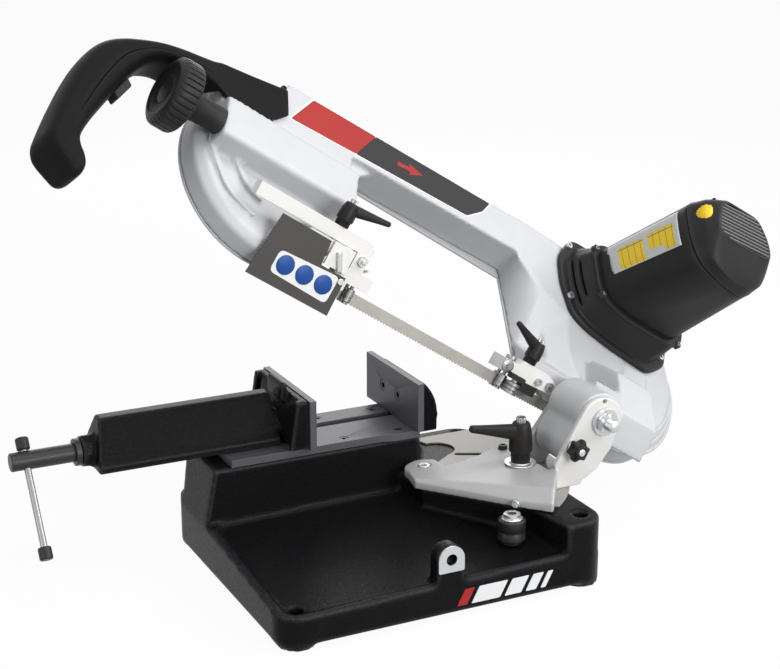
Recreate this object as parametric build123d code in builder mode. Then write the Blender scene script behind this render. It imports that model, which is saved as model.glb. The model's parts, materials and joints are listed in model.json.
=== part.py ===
from math import atan2, cos, degrees, pi, radians, sin
import os

from build123d import *

os.makedirs("parts", exist_ok=True)

# Base casting
base_left, base_right = -180, 176
base_front, base_back = -153, 147
base_corner = 25
bolt_x, bolt_y, bolt_r = 156.5, 130, 7.5
foot_r, skirt_z = 20, 6
rim_z, rim_slope_x, rim_slope_y = 36, 0.02, 0.0859
tray_depth = 4
pedestal_front, pedestal_top = 48, 112
rail_t = 8
platform_z = 73.4
lug_x, lug_z, lug_bore_r = -2.7, 63.8, 5.75

# Vise
fixed_face_x, jaw_opening = 58, 117.4
jaw_front, jaw_back = 38.2, 166
jaw_bottom, jaw_top = 120.3, 173.5
jaw_plate_t = 7
screw_y, screw_z, screw_r = 102, 136, 9.5
screw_left = -363
bar_x, bar_dir = -347, (0, -0.582, -0.813)
bar_r, bar_long, bar_shift = 3.5, 126, 39.5
move_face_x = fixed_face_x - jaw_opening

# Mitre swivel
pivot_x, pivot_y = 60, 28
lock_x, lock_y = 145, -29
deck_bottom, deck_top = 75.6, 94
ear_front, ear_back, ear_t = -70, 0, 8
hinge_x, hinge_z, hinge_pin_r = 221.2, 141.9, 8

# Bow: tilted up by bow_rise, wheel plane leaning back by wheel_lean
bow_rise, wheel_lean = 33.2, 42
bow_origin = (93.95, 77.13, 284.25)
wheel_r, wheel_m = 85.65, -5.3
idler_u, drive_u = -219, 265
blade_w, blade_t = 13, 0.65
tub_back, tub_front = -18, 12
cover_t = 3
cover_hinge_at = (120.5, -20)
motor_u, motor_w = 250, 72
gear_module = 1.25
rotor_teeth, mid_wheel_teeth, mid_pinion_teeth, drive_teeth = 10, 34, 12, 62

rise, lean = radians(bow_rise), radians(wheel_lean)
u_dir = Vector(cos(rise), 0, -sin(rise))
n_dir = Vector(sin(rise), 0, cos(rise))
w_dir = Vector(0, sin(lean), 0) + n_dir * cos(lean)
m_dir = Vector(0, -cos(lean), 0) + n_dir * sin(lean)
bow = Plane(origin=bow_origin, x_dir=u_dir, z_dir=m_dir)
bow_end = Plane(origin=bow_origin, x_dir=w_dir, z_dir=u_dir)
blade_mid = wheel_r + 0.05 + blade_t / 2
cut_origin = Vector(*bow_origin) - w_dir * blade_mid + m_dir * wheel_m
cut_side = Plane(origin=cut_origin, x_dir=u_dir, z_dir=(0, -1, 0))
cut_down = Plane(origin=cut_origin, x_dir=u_dir, z_dir=n_dir)
blade_y = cut_origin.Y


def keep(piece, name):
    piece.part.label = name
    export_step(piece.part, f"parts/{name}.step")


def level(z):
    return Plane.XY.offset(z)


def facing(y):
    return Plane.XZ.offset(-y)


def across(x):
    return Plane.YZ.offset(x)


def bow_point(u, w, m):
    return Vector(*bow_origin) + u_dir * u + w_dir * w + m_dir * m


# Base

rim = Plane(
    origin=(base_left, base_front, rim_z),
    x_dir=(1, 0, rim_slope_x),
    z_dir=(-rim_slope_x, -rim_slope_y, 1),
)
left_draft = Plane(origin=(base_left, 0, 50), z_dir=(-62, 0, 12))
base_mid = ((base_left + base_right) / 2, (base_front + base_back) / 2)
base_long, base_deep = base_right - base_left, base_back - base_front
bolt_places = [(sx * bolt_x, sy * bolt_y) for sx in (-1, 1) for sy in (-1, 1)]
slot_r = ((lock_x - pivot_x) ** 2 + (lock_y - pivot_y) ** 2) ** 0.5
slot_from = degrees(atan2(lock_y - pivot_y, lock_x - pivot_x))

with BuildPart() as tray_hollow:
    with BuildSketch(level(-1)):
        with Locations((base_mid[0], -52)):
            RectangleRounded(base_long - 16, 186, base_corner - 8)
    extrude(amount=90)
    split(bisect_by=rim.offset(-tray_depth - 7), keep=Keep.BOTTOM)

with BuildPart() as base_casting:
    with BuildSketch(level(skirt_z)):
        with Locations(base_mid):
            RectangleRounded(base_long, base_deep, base_corner)
    extrude(amount=80)
    split(bisect_by=rim, keep=Keep.BOTTOM)
    with BuildSketch(rim.offset(-tray_depth)):
        with Locations((base_long / 2, 105)):
            RectangleRounded(base_long - 18, 192, base_corner - 9)
    extrude(amount=40, mode=Mode.SUBTRACT)
    with BuildSketch(level(24)):
        Polygon((-180, 48), (64, 48), (92, 100), (92, 147), (-155, 147), (-180, 122), align=None)
    extrude(amount=pedestal_top - 24)
    with BuildSketch(level(24)):
        with BuildLine():
            Polyline((40, 60), (45, 0), (120, -95), (130, -153), (151, -153))
            TangentArc((151, -153), (176, -128), tangent=(1, 0))
            Polyline((176, -128), (176, 122))
            TangentArc((176, 122), (151, 147), tangent=(0, 1))
            Polyline((151, 147), (40, 147), (40, 60))
        make_face()
    extrude(amount=platform_z - 24)
    split(bisect_by=left_draft, keep=Keep.BOTTOM)
    with BuildSketch(facing(-134)):
        with Locations((lug_x, lug_z)):
            Circle(14.75)
        with Locations((lug_x, 48)):
            Rectangle(29.5, 32)
    extrude(amount=base_front * -1 - 134)
    add(tray_hollow.part, mode=Mode.SUBTRACT)
    with BuildSketch(level(-1)):
        Polygon((-166, 57), (52, 57), (82, 108), (82, 138), (-166, 138), align=None)
    extrude(amount=pedestal_top - 9, mode=Mode.SUBTRACT)
    with BuildSketch(level(-1)):
        Polygon((92, 20), (128, -55), (172.5, -70), (172.5, 120), (160, 138), (92, 138), align=None)
    extrude(amount=platform_z - 9, mode=Mode.SUBTRACT)
    with BuildSketch(level(0)):
        with Locations(*bolt_places):
            Circle(foot_r)
    extrude(amount=34)
    with BuildSketch(level(34)):
        with Locations((-152, 128)):
            Rectangle(30, 44)
    extrude(amount=62, mode=Mode.SUBTRACT)
    with BuildSketch(level(-1)):
        with Locations(*bolt_places):
            Circle(bolt_r)
    extrude(amount=80, mode=Mode.SUBTRACT)
    with BuildSketch(facing(base_front)):
        with Locations((lug_x, lug_z)):
            Circle(lug_bore_r)
    extrude(amount=-30, mode=Mode.SUBTRACT)
    with BuildSketch(level(platform_z - 12)):
        with BuildLine():
            slot_path = CenterArc((pivot_x, pivot_y), slot_r, slot_from - 1.5, 48)
        SlotArc(slot_path, 14)
    extrude(amount=30, mode=Mode.SUBTRACT)
    with BuildSketch(level(50)):
        with Locations((pivot_x, pivot_y)):
            Circle(5.05)
    extrude(amount=30, mode=Mode.SUBTRACT)
    with BuildSketch(level(pedestal_top - 12)):
        with Locations((-46, 106)):
            Rectangle(208, 12)
    extrude(amount=20, mode=Mode.SUBTRACT)
    with BuildSketch(facing(base_front)):
        with Locations((0, 21)):
            RectangleRounded(284, 20, 6)
    extrude(amount=-1.2, mode=Mode.SUBTRACT)
keep(base_casting, "base_casting")

with BuildPart() as guide_rails:
    with BuildSketch(level(pedestal_top)):
        Polygon((-150, 48), (20, 48), (34, 44), (62, 44), (62, 100), (-150, 100), align=None)
        Polygon((-150, 112), (62, 112), (62, 140), (-150, 140), align=None)
    extrude(amount=rail_t)
    with BuildSketch(level(pedestal_top + rail_t)):
        with Locations((-20, 58), (44, 58), (-20, 126), (44, 126)):
            Circle(5)
    extrude(amount=-4, mode=Mode.SUBTRACT)
keep(guide_rails, "guide_rails")

# Fixed jaw

jaw_back_x = fixed_face_x + jaw_plate_t
jaw_screw_places = [(88, 147), (124, 147)]

with BuildPart() as fixed_jaw_support:
    with BuildSketch(facing(152)):
        with BuildLine():
            Polyline((66, 112), (66, 120.3), (jaw_back_x, 120.3), (jaw_back_x, 168), (74, 168))
            RadiusArc((74, 168), (91, 124), 52)
            Polyline((91, 124), (91, 112), (66, 112))
        make_face()
    extrude(amount=96)
    with BuildSketch(across(jaw_back_x)):
        with Locations(*jaw_screw_places):
            Circle(4.05)
    extrude(amount=9, mode=Mode.SUBTRACT)
keep(fixed_jaw_support, "fixed_jaw_support")

with BuildPart() as fixed_jaw_plate:
    with BuildSketch(across(fixed_face_x)):
        with Locations(((jaw_front + jaw_back) / 2, (jaw_bottom + jaw_top) / 2)):
            Rectangle(jaw_back - jaw_front, jaw_top - jaw_bottom)
    extrude(amount=jaw_plate_t)
    with BuildSketch(across(fixed_face_x)):
        with Locations(*jaw_screw_places):
            Circle(7)
    extrude(amount=4, mode=Mode.SUBTRACT)
    with BuildSketch(across(fixed_face_x)):
        with Locations(*jaw_screw_places):
            Circle(4.05)
    extrude(amount=jaw_plate_t, mode=Mode.SUBTRACT)
keep(fixed_jaw_plate, "fixed_jaw_plate")

with BuildPart() as vise_nut:
    with BuildSketch(across(-145)):
        with Locations((screw_y, 135.4)):
            Rectangle(30, 30.4)
        with Locations((106, 112)):
            Rectangle(11.4, 17)
    extrude(amount=28)
    with BuildSketch(across(-145)):
        with Locations((screw_y, screw_z)):
            Circle(screw_r + 0.05)
    extrude(amount=28, mode=Mode.SUBTRACT)
keep(vise_nut, "vise_nut")

# Movable jaw

jaw_move_back = move_face_x - jaw_plate_t
barrel_left, barrel_top = -280, 170.5
barrel_end = Plane(origin=(barrel_left, screw_y, screw_z), z_dir=(-1, 0, 0.2))

with BuildPart() as movable_jaw_body:
    with BuildSketch(across(barrel_left - 5)):
        Polygon(
            (66.5, 120.7), (66.5, 128.5), (70, 131), (94, barrel_top), (110, barrel_top), (134, 131),
            (137.5, 128.5), (137.5, 120.7), align=None,
        )
    extrude(amount=-barrel_left - 83)
    split(bisect_by=barrel_end, keep=Keep.BOTTOM)
    with BuildSketch(across(-88)):
        with Locations((screw_y, screw_z)):
            Rectangle(48, 26)
    with BuildSketch(across(-74)):
        with Locations((screw_y, 146.5)):
            Rectangle(100, 51)
    loft()
    with BuildSketch(across(-74)):
        with Locations((screw_y, 147)):
            Rectangle(120, 52.6)
    extrude(amount=74 + jaw_move_back)
    with BuildSketch(facing(162)):
        Polygon((-87, 120.7), (-74, 120.7), (-74, 173), (-79, 173), align=None)
    extrude(amount=9)
    with BuildSketch(facing(51)):
        Polygon((-87, 120.7), (-74, 120.7), (-74, 173), (-79, 173), align=None)
    extrude(amount=9)
    with BuildSketch(facing(116)):
        Polygon((-83, 165), (-83, 182), (-80.5, 185), (-77, 185), (-74, 172), (-74, 165), align=None)
    extrude(amount=40)
    with BuildSketch(across(-292)):
        with Locations((screw_y, screw_z)):
            RegularPolygon(17, 8)
    extrude(amount=20)
    with BuildSketch(across(-264)):
        with BuildLine():
            Polyline((85.5, 119), (85.5, 151), (95, 162), (109, 162), (118.5, 151), (118.5, 119), (85.5, 119))
        make_face()
    extrude(amount=160, mode=Mode.SUBTRACT)
    with BuildSketch(across(-293)):
        with Locations((screw_y, screw_z)):
            Circle(screw_r + 0.05)
    extrude(amount=40, mode=Mode.SUBTRACT)
    with BuildSketch(level(103)):
        with Locations((-85, 106)):
            Rectangle(36, 11)
    extrude(amount=22)
    with BuildSketch(across(jaw_move_back)):
        with Locations(*jaw_screw_places):
            Circle(4.05)
    extrude(amount=-9, mode=Mode.SUBTRACT)
keep(movable_jaw_body, "movable_jaw_body")

with BuildPart() as movable_jaw_plate:
    with BuildSketch(across(jaw_move_back)):
        with Locations(((jaw_front + jaw_back) / 2, (jaw_bottom + jaw_top) / 2)):
            Rectangle(jaw_back - jaw_front, jaw_top - jaw_bottom)
    extrude(amount=jaw_plate_t)
    with BuildSketch(across(move_face_x)):
        with Locations(*jaw_screw_places):
            Circle(7)
    extrude(amount=-4, mode=Mode.SUBTRACT)
    with BuildSketch(across(move_face_x)):
        with Locations(*jaw_screw_places):
            Circle(4.05)
    extrude(amount=-jaw_plate_t, mode=Mode.SUBTRACT)
keep(movable_jaw_plate, "movable_jaw_plate")

with BuildPart() as movable_jaw_screws:
    with BuildSketch(across(move_face_x - 0.4)):
        with Locations(*jaw_screw_places):
            Circle(6.8)
    extrude(amount=-3.6)
    with BuildSketch(across(move_face_x - 0.4)):
        with Locations(*jaw_screw_places):
            Circle(4)
    extrude(amount=-14)
    with BuildSketch(across(move_face_x - 0.4)):
        with Locations(*jaw_screw_places):
            RegularPolygon(3.4, 6)
    extrude(amount=-3, mode=Mode.SUBTRACT)
keep(movable_jaw_screws, "movable_jaw_screws")

bar_centre = Vector(bar_x, screw_y, screw_z)
bar_axis = Vector(*bar_dir).normalized()
bar_plane = Plane(origin=bar_centre, x_dir=(1, 0, 0), z_dir=bar_axis)
bar_top = bar_shift - bar_long / 2
bar_end = bar_shift + bar_long / 2

with BuildPart() as vise_screw:
    with BuildSketch(across(screw_left)):
        with Locations((screw_y, screw_z)):
            Circle(screw_r)
    extrude(amount=screw_left * -1 - 108)
    chamfer(vise_screw.edges().filter_by(GeomType.CIRCLE), 1)
    with BuildSketch(bar_plane.offset(-20)):
        Circle(bar_r + 0.05)
    extrude(amount=40, mode=Mode.SUBTRACT)
keep(vise_screw, "vise_screw")

with BuildPart() as screw_collars:
    for collar_x in (-298.4, -263.6):
        with BuildSketch(across(collar_x)):
            with Locations((screw_y, screw_z)):
                Circle(14)
                Circle(screw_r, mode=Mode.SUBTRACT)
        extrude(amount=6)
keep(screw_collars, "screw_collars")

with BuildPart() as tommy_bar:
    with BuildSketch(bar_plane.offset(bar_top + 2)):
        Circle(bar_r)
    extrude(amount=bar_long - 4)
keep(tommy_bar, "tommy_bar")

with BuildPart() as tommy_bar_caps:
    for cap_start in (bar_top, bar_end - 13):
        with BuildSketch(bar_plane.offset(cap_start)):
            Circle(6.8)
        extrude(amount=13)
    fillet(tommy_bar_caps.edges().filter_by(GeomType.CIRCLE), 1.8)
    with BuildSketch(bar_plane.offset(bar_top + 2)):
        Circle(bar_r)
    extrude(amount=bar_long - 4, mode=Mode.SUBTRACT)
keep(tommy_bar_caps, "tommy_bar_caps")

# Mitre stop and scale

with BuildPart() as stop_bumper:
    with BuildSketch(level(48)):
        with Locations((92, -104)):
            Circle(14)
    extrude(amount=22)
    with BuildSketch(level(44)):
        with Locations((92, -104)):
            Circle(11)
    extrude(amount=4)
    with BuildSketch(level(43)):
        with Locations((92, -104)):
            Circle(4.05)
    extrude(amount=40, mode=Mode.SUBTRACT)
keep(stop_bumper, "stop_bumper")

with BuildPart() as base_screws:
    with BuildSketch(level(pedestal_top + rail_t - 4)):
        with Locations((-20, 58), (44, 58), (-20, 126), (44, 126)):
            Circle(4.8)
    extrude(amount=3.6)
    with BuildSketch(level(pedestal_top + rail_t - 0.4)):
        with Locations((-20, 58), (44, 58), (-20, 126), (44, 126)):
            RegularPolygon(2.4, 6)
    extrude(amount=-2, mode=Mode.SUBTRACT)
    with BuildSketch(across(fixed_face_x + 0.4)):
        with Locations(*jaw_screw_places):
            Circle(6.8)
    extrude(amount=3.6)
    with BuildSketch(across(fixed_face_x + 0.4)):
        with Locations(*jaw_screw_places):
            Circle(4)
    extrude(amount=14)
    with BuildSketch(across(fixed_face_x + 0.4)):
        with Locations(*jaw_screw_places):
            RegularPolygon(3.4, 6)
    extrude(amount=3, mode=Mode.SUBTRACT)
    with BuildSketch(level(70)):
        with Locations((92, -104)):
            RegularPolygon(8, 6)
    extrude(amount=5.3)
    with BuildSketch(level(46)):
        with Locations((92, -104)):
            Circle(4)
    extrude(amount=25)
keep(base_screws, "base_screws")

with BuildPart() as scale_plate:
    with BuildSketch(level(platform_z)):
        with BuildLine():
            Polyline((47, 4), (119, -90), (145, -108))
            RadiusArc((145, -108), (174, 128), -165)
            Polyline((174, 128), (98, 128), (104, 109))
            ThreePointArc((104, 109), (126, 95), (112, 69))
            Polyline((112, 69), (88, 52), (66, 47), (47, 47), (47, 4))
        make_face()
        with Locations(Location((131, 60), -26)):
            SlotOverall(30, 7, mode=Mode.SUBTRACT)
        with BuildLine():
            slot_path = CenterArc((pivot_x, pivot_y), slot_r, slot_from - 1.5, 48)
        SlotArc(slot_path, 14, mode=Mode.SUBTRACT)
        with Locations((pivot_x, pivot_y)):
            Circle(5.05, mode=Mode.SUBTRACT)
    extrude(amount=2)
keep(scale_plate, "scale_plate")

with BuildPart() as mitre_pivot_bolt:
    with BuildSketch(level(55)):
        with Locations((pivot_x, pivot_y)):
            Circle(5)
    extrude(amount=28)
    with BuildSketch(level(81.5)):
        with Locations((pivot_x, pivot_y)):
            Circle(6.6)
    extrude(amount=5)
    with BuildSketch(level(83.5)):
        with Locations((pivot_x, pivot_y)):
            RegularPolygon(3.4, 6)
    extrude(amount=5, mode=Mode.SUBTRACT)
keep(mitre_pivot_bolt, "mitre_pivot_bolt")

# Swivel arm

hinge_line = Plane(origin=(hinge_x, 0, hinge_z), x_dir=(1, 0, 0), z_dir=(0, -1, 0))
deck_slope = Plane(origin=(lock_x, lock_y, deck_top), z_dir=(-0.062, 0.041, 1))
deck_bevel = Plane(origin=(73, -54, 84), z_dir=(-0.72, -0.58, 1.1))
deck_screw_at = (152, 20)

with BuildPart() as swivel_arm:
    with BuildSketch(level(deck_bottom)):
        with BuildLine():
            Polyline(
                (38, 22), (33, -4), (113, -104), (130, -122), (166, -70), (196, -70), (196, -62),
                (160, -62), (160, 0), (196, 0), (196, 8), (168, 26), (163, 42),
            )
            ThreePointArc((163, 42), (122, 20), (78, 14))
            Polyline((78, 14), (77, 36))
            ThreePointArc((77, 36), (58, 46.3), (38, 22))
        make_face()
    extrude(amount=30)
    split(bisect_by=deck_slope, keep=Keep.BOTTOM)
    split(bisect_by=deck_bevel, keep=Keep.BOTTOM)
    with BuildSketch(facing(ear_front + ear_t)):
        with BuildLine():
            Polyline((166, 76), (195, 78), (213.6, 88.4), (231, 109), (246, 145), (240, 157))
            RadiusArc((240, 157), (199, 160), -27)
            Polyline((199, 160), (163, 101), (166, 76))
        make_face()
    extrude(amount=ear_t)
    with BuildSketch(facing(ear_back + ear_t)):
        with BuildLine():
            Polyline((166, 76), (195, 78), (232, 130))
            RadiusArc((232, 130), (208, 152.5), -17)
            Polyline((208, 152.5), (168, 101), (166, 76))
        make_face()
    extrude(amount=ear_t)
    with BuildSketch(hinge_line.offset(-20)):
        Circle(hinge_pin_r + 0.05)
        with Locations((0.4, 21.5)):
            Circle(2.6)
    extrude(amount=100, mode=Mode.SUBTRACT)
    with BuildSketch(facing(-60)):
        with Locations((184, 119)):
            Circle(5.05)
    extrude(amount=20, mode=Mode.SUBTRACT)
    with BuildSketch(level(60)):
        with Locations((pivot_x, pivot_y)):
            Circle(5.05)
        with Locations((lock_x, lock_y)):
            Circle(6.05)
    extrude(amount=60, mode=Mode.SUBTRACT)
    with BuildSketch(level(81)):
        with Locations((pivot_x, pivot_y)):
            Circle(7)
    extrude(amount=30, mode=Mode.SUBTRACT)
    with BuildSketch(level(deck_top)):
        with Locations((lock_x, lock_y)):
            Circle(18.5)
    extrude(amount=10, mode=Mode.SUBTRACT)
    with BuildSketch(level(88)):
        with Locations(deck_screw_at):
            Circle(4.55)
    extrude(amount=10, mode=Mode.SUBTRACT)
keep(swivel_arm, "swivel_arm")

with BuildPart() as hinge_pin:
    with BuildSketch(hinge_line.offset(-10)):
        Circle(hinge_pin_r)
    extrude(amount=94)
    with BuildSketch(hinge_line.offset(-13)):
        Circle(12)
    extrude(amount=4.5)
    chamfer(hinge_pin.faces().sort_by(Axis.Y)[0].edges(), 1.2)
keep(hinge_pin, "hinge_pin")

with BuildPart() as lock_pin_knob:
    with BuildSketch(facing(-62.3)):
        with Locations((184, 119)):
            Circle(5)
    extrude(amount=22.2)
    with BuildSketch(facing(ear_front - 5)):
        with Locations((184, 119)):
            Circle(9.5)
            with PolarLocations(8, 6):
                Circle(4)
    extrude(amount=9.5)
    with BuildSketch(facing(ear_front - 14.5)):
        with Locations((184, 119)):
            Circle(9)
    extrude(amount=4)
keep(lock_pin_knob, "lock_pin_knob")

with BuildPart() as mitre_lock_lever:
    with BuildSketch(level(deck_top + 3)):
        with Locations((lock_x, lock_y)):
            Circle(10.4)
    extrude(amount=12)
    with BuildSketch(level(deck_top + 15)):
        with Locations((lock_x, lock_y)):
            Circle(12.6)
    with BuildSketch(level(deck_top + 46)):
        with Locations((lock_x, lock_y)):
            Circle(9.5)
    loft()
    with BuildSketch(level(deck_top + 46)):
        with Locations((lock_x, lock_y)):
            Circle(4.6)
    extrude(amount=7)
    lever_from = Plane(origin=(lock_x, lock_y, deck_top + 35), x_dir=(0, 1, 0), z_dir=(-0.975, 0, 0.22))
    with BuildSketch(lever_from):
        Ellipse(7, 8.4)
    with BuildSketch(lever_from.offset(63)):
        Ellipse(4.2, 3.6)
    loft()
    with BuildSketch(level(deck_top)):
        with Locations((lock_x, lock_y)):
            Circle(6.05)
    extrude(amount=14, mode=Mode.SUBTRACT)
keep(mitre_lock_lever, "mitre_lock_lever")

with BuildPart() as swivel_fasteners:
    with BuildSketch(hinge_line.offset(-ear_front + 0.2)):
        Circle(13.5)
        Circle(hinge_pin_r + 0.05, mode=Mode.SUBTRACT)
    extrude(amount=2.5)
    with BuildSketch(hinge_line.offset(-ear_front + 2.9)):
        RegularPolygon(12, 6)
        Circle(hinge_pin_r + 0.05, mode=Mode.SUBTRACT)
    extrude(amount=7.5)
    with BuildSketch(level(56)):
        with Locations((lock_x, lock_y)):
            Circle(6)
    extrude(amount=48)
    with BuildSketch(level(56)):
        with Locations((lock_x, lock_y)):
            RegularPolygon(9.5, 6)
    extrude(amount=7)
    with BuildSketch(level(deck_top + 0.2)):
        with Locations((lock_x, lock_y)):
            Circle(17)
            Circle(6.05, mode=Mode.SUBTRACT)
    extrude(amount=2.4)
    with BuildSketch(Plane(origin=(104, -92.75, 80.2), z_dir=(-0.781, -0.625, 0))):
        Circle(4)
    extrude(amount=5)
    with BuildSketch(level(88)):
        with Locations(deck_screw_at):
            Circle(4.5)
    extrude(amount=8.5)
keep(swivel_fasteners, "swivel_fasteners")

# Bow casting

blade_depth = Vector(*bow_origin).Y - blade_y
hinge_u = (Vector(hinge_x, 0, hinge_z) - Vector(*bow_origin)).dot(u_dir)
hinge_n = (Vector(hinge_x, 0, hinge_z) - cut_origin).dot(n_dir)
lug_side = Plane(origin=(hinge_x, 0, hinge_z), x_dir=u_dir, z_dir=(0, -1, 0))
web_end = Plane(origin=cut_origin, x_dir=(0, -1, 0), z_dir=u_dir * -1)
drive_at, idler_at, motor_at = (drive_u, 0), (idler_u, 0), (motor_u, motor_w)

# Middle gear shaft: where the two gear centre distances meet
first_reach = gear_module * (rotor_teeth + mid_wheel_teeth) / 2
last_reach = gear_module * (mid_pinion_teeth + drive_teeth) / 2
span_u, span_w = motor_u - drive_u, motor_w
span = (span_u**2 + span_w**2) ** 0.5
along = (span**2 + last_reach**2 - first_reach**2) / (2 * span)
aside = (last_reach**2 - along**2) ** 0.5
mid_at = (
    drive_u + (span_u * along + span_w * aside) / span,
    (span_w * along - span_u * aside) / span,
)


def at_y(y):
    return cut_side.offset(blade_y - y)


with BuildPart() as bow_frame:
    with BuildSketch(bow.offset(tub_back)):
        with Locations(idler_at):
            Circle(97)
    extrude(amount=22)
    with BuildSketch(bow.offset(4)):
        with Locations(idler_at):
            Circle(97)
    with BuildSketch(bow.offset(tub_front)):
        with Locations(idler_at):
            Circle(88)
    loft()
    with BuildSketch(bow.offset(tub_back)):
        with Locations(drive_at):
            Circle(105)
    extrude(amount=26)
    with BuildSketch(bow.offset(8)):
        with Locations(drive_at):
            Circle(105)
    with BuildSketch(bow.offset(25)):
        with Locations(drive_at):
            Circle(84)
    loft()
    with BuildSketch(bow.offset(tub_back)):
        Polygon(
            (-313, 56), (-313, 72), (-290, 76), (-232, 92), (-228, 102), (130, 115), (200, 112), (262, 104),
            (262, 60), (110, 69), (-230, 57), align=None,
        )
    extrude(amount=25 - tub_back)
    with BuildSketch(bow.offset(tub_back)):
        Polygon((110, 68), (138, -29), (200, -80), (265, -80), (265, 90), (110, 100), align=None)
    with BuildSketch(bow.offset(25)):
        Polygon((101, 62), (141, 37), (233, 9), (265, 5), (265, 90), (101, 100), align=None)
    loft(ruled=True)
    with BuildSketch(bow_end.offset(-303)):
        Polygon((64, 0), (64, 25), (32, 25), (28, 40), (-15, 40), (-18, 37), (-18, 0), align=None)
    extrude(amount=165)
    for rib_start, rib_middle, rib_end in (
        ((-300, -15), (-276, -50), (-245, -69)),
        ((-284, 6), (-258, -32), (-238, -47)),
    ):
        with BuildSketch(bow.offset(10)):
            with BuildLine():
                rib_path = ThreePointArc(rib_start, rib_middle, rib_end)
            SlotArc(rib_path, 7)
        extrude(amount=7)
    with BuildSketch(bow.offset(4)):
        Polygon((-142, 28), (-142, 64), (-100, 64), (-118, 52), (-126, 40), (-130, 28), align=None)
    extrude(amount=12)
    with BuildSketch(bow.offset(20)):
        Polygon((232, -28), (264, -29), (264, -21), (232, -20), align=None)
        Polygon((262, -36), (306, -26), (308, 1), (270, 1), align=None)
    extrude(amount=9)
    with BuildSketch(lug_side.offset(2)):
        Circle(28)
        with Locations((0, -37)):
            Circle(22)
        with Locations((-1, -20)):
            Rectangle(42, 40)
    extrude(amount=59.5)
    with BuildSketch(web_end.offset(-262)):
        Polygon(
            (85, -2), (85, 36), (44, 72), (-8, 70), (-30, 45), (-8, 14), (24.8, 2), (25.6, -2),
            align=None,
        )
    extrude(amount=54)
    with BuildSketch(web_end.offset(-212)):
        Polygon((85, 4), (85, 36), (60, 52), (27, 40), (27, 4), align=None)
    extrude(amount=36)
    with BuildSketch(web_end.offset(-225)):
        Polygon((1.6, 13), (1.6, 40), (-50, 46), (-27, 13), align=None)
    extrude(amount=89)
    with BuildSketch(at_y(46)):
        Polygon((-188, 28), (-188, 43.7), (-138, 43.7), (-138, 28), align=None)
    extrude(amount=39)
    for pin_u in (-120, 90):
        with BuildSketch(bow_end.offset(pin_u)):
            Polygon(
                (104, -17.9), (104, -4), (118, -12), (125, -18), (125, -23), (117.5, -24), (116, -17.9), align=None,
            )
        extrude(amount=10)
    # Hollows behind the front wall
    with BuildSketch(bow.offset(tub_back - 10)):
        with Locations(idler_at):
            Circle(91)
        with Locations(drive_at):
            Circle(97)
        Polygon((-219, 76), (265, 76), (265, 97), (-219, 91), align=None)
    extrude(amount=33, mode=Mode.SUBTRACT)
    with BuildSketch(Plane(origin=cut_origin - u_dir * 200, x_dir=w_dir, z_dir=u_dir)):
        Circle(9)
    extrude(amount=428, mode=Mode.SUBTRACT)
    with BuildSketch(bow_end.offset(-272)):
        with Locations((0, 22.5)):
            Rectangle(28, 28)
    extrude(amount=108, mode=Mode.SUBTRACT)
    with BuildSketch(bow.offset(0)):
        with Locations(idler_at):
            SlotOverall(40, 22)
    extrude(amount=12, mode=Mode.SUBTRACT)
    with BuildSketch(bow_end.offset(-310)):
        with Locations((0, 30)):
            Circle(5.3)
    extrude(amount=50, mode=Mode.SUBTRACT)
    with BuildSketch(bow.offset(0)):
        with Locations(drive_at):
            Circle(42.5)
    extrude(amount=22, mode=Mode.SUBTRACT)
    with BuildSketch(bow.offset(13)):
        with Locations(mid_at):
            Circle(10)
    extrude(amount=20, mode=Mode.SUBTRACT)
    with BuildSketch(lug_side.offset(-30)):
        Circle(hinge_pin_r + 0.05)
    extrude(amount=100, mode=Mode.SUBTRACT)
    for pin_u in (-120, 90):
        with BuildSketch(bow_end.offset(pin_u - 5)):
            with Locations(cover_hinge_at):
                Circle(2)
        extrude(amount=20, mode=Mode.SUBTRACT)
    with BuildSketch(at_y(13)):
        Polygon((-160, 20), (-160, 44), (-152, 44), (-152, 20), align=None)
    extrude(amount=4, both=True, mode=Mode.SUBTRACT)
keep(bow_frame, "bow_frame")

# Rear cover with its hinge

with BuildPart() as wheel_cover:
    with BuildSketch(bow.offset(tub_back - 0.3 - cover_t)):
        with Locations(idler_at):
            Circle(97)
        with Locations(drive_at):
            Circle(105)
        Polygon(
            (-290, 60), (-290, 76), (-232, 92), (-228, 101), (130, 110), (200, 109), (262, 104), (262, 60),
            align=None,
        )
        Polygon((110, 68), (138, -29), (200, -80), (265, -80), (265, 90), (110, 100), align=None)
    extrude(amount=cover_t)
    for knuckle_u in (-141, -109, 69, 101):
        with BuildSketch(bow_end.offset(knuckle_u)):
            with Locations(cover_hinge_at):
                Circle(4.5)
            Polygon((98, -21.3), (98, -18.3), (117, -18.3), (120.5, -17), (120.5, -21.3), align=None)
            with Locations(cover_hinge_at):
                Circle(2.05, mode=Mode.SUBTRACT)
        extrude(amount=20)
keep(wheel_cover, "wheel_cover")

with BuildPart() as cover_hinge_pins:
    for pin_u in (-120, 90):
        with BuildSketch(bow_end.offset(pin_u - 20)):
            with Locations(cover_hinge_at):
                Circle(2)
        extrude(amount=50)
keep(cover_hinge_pins, "cover_hinge_pins")

# Band wheels

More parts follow.
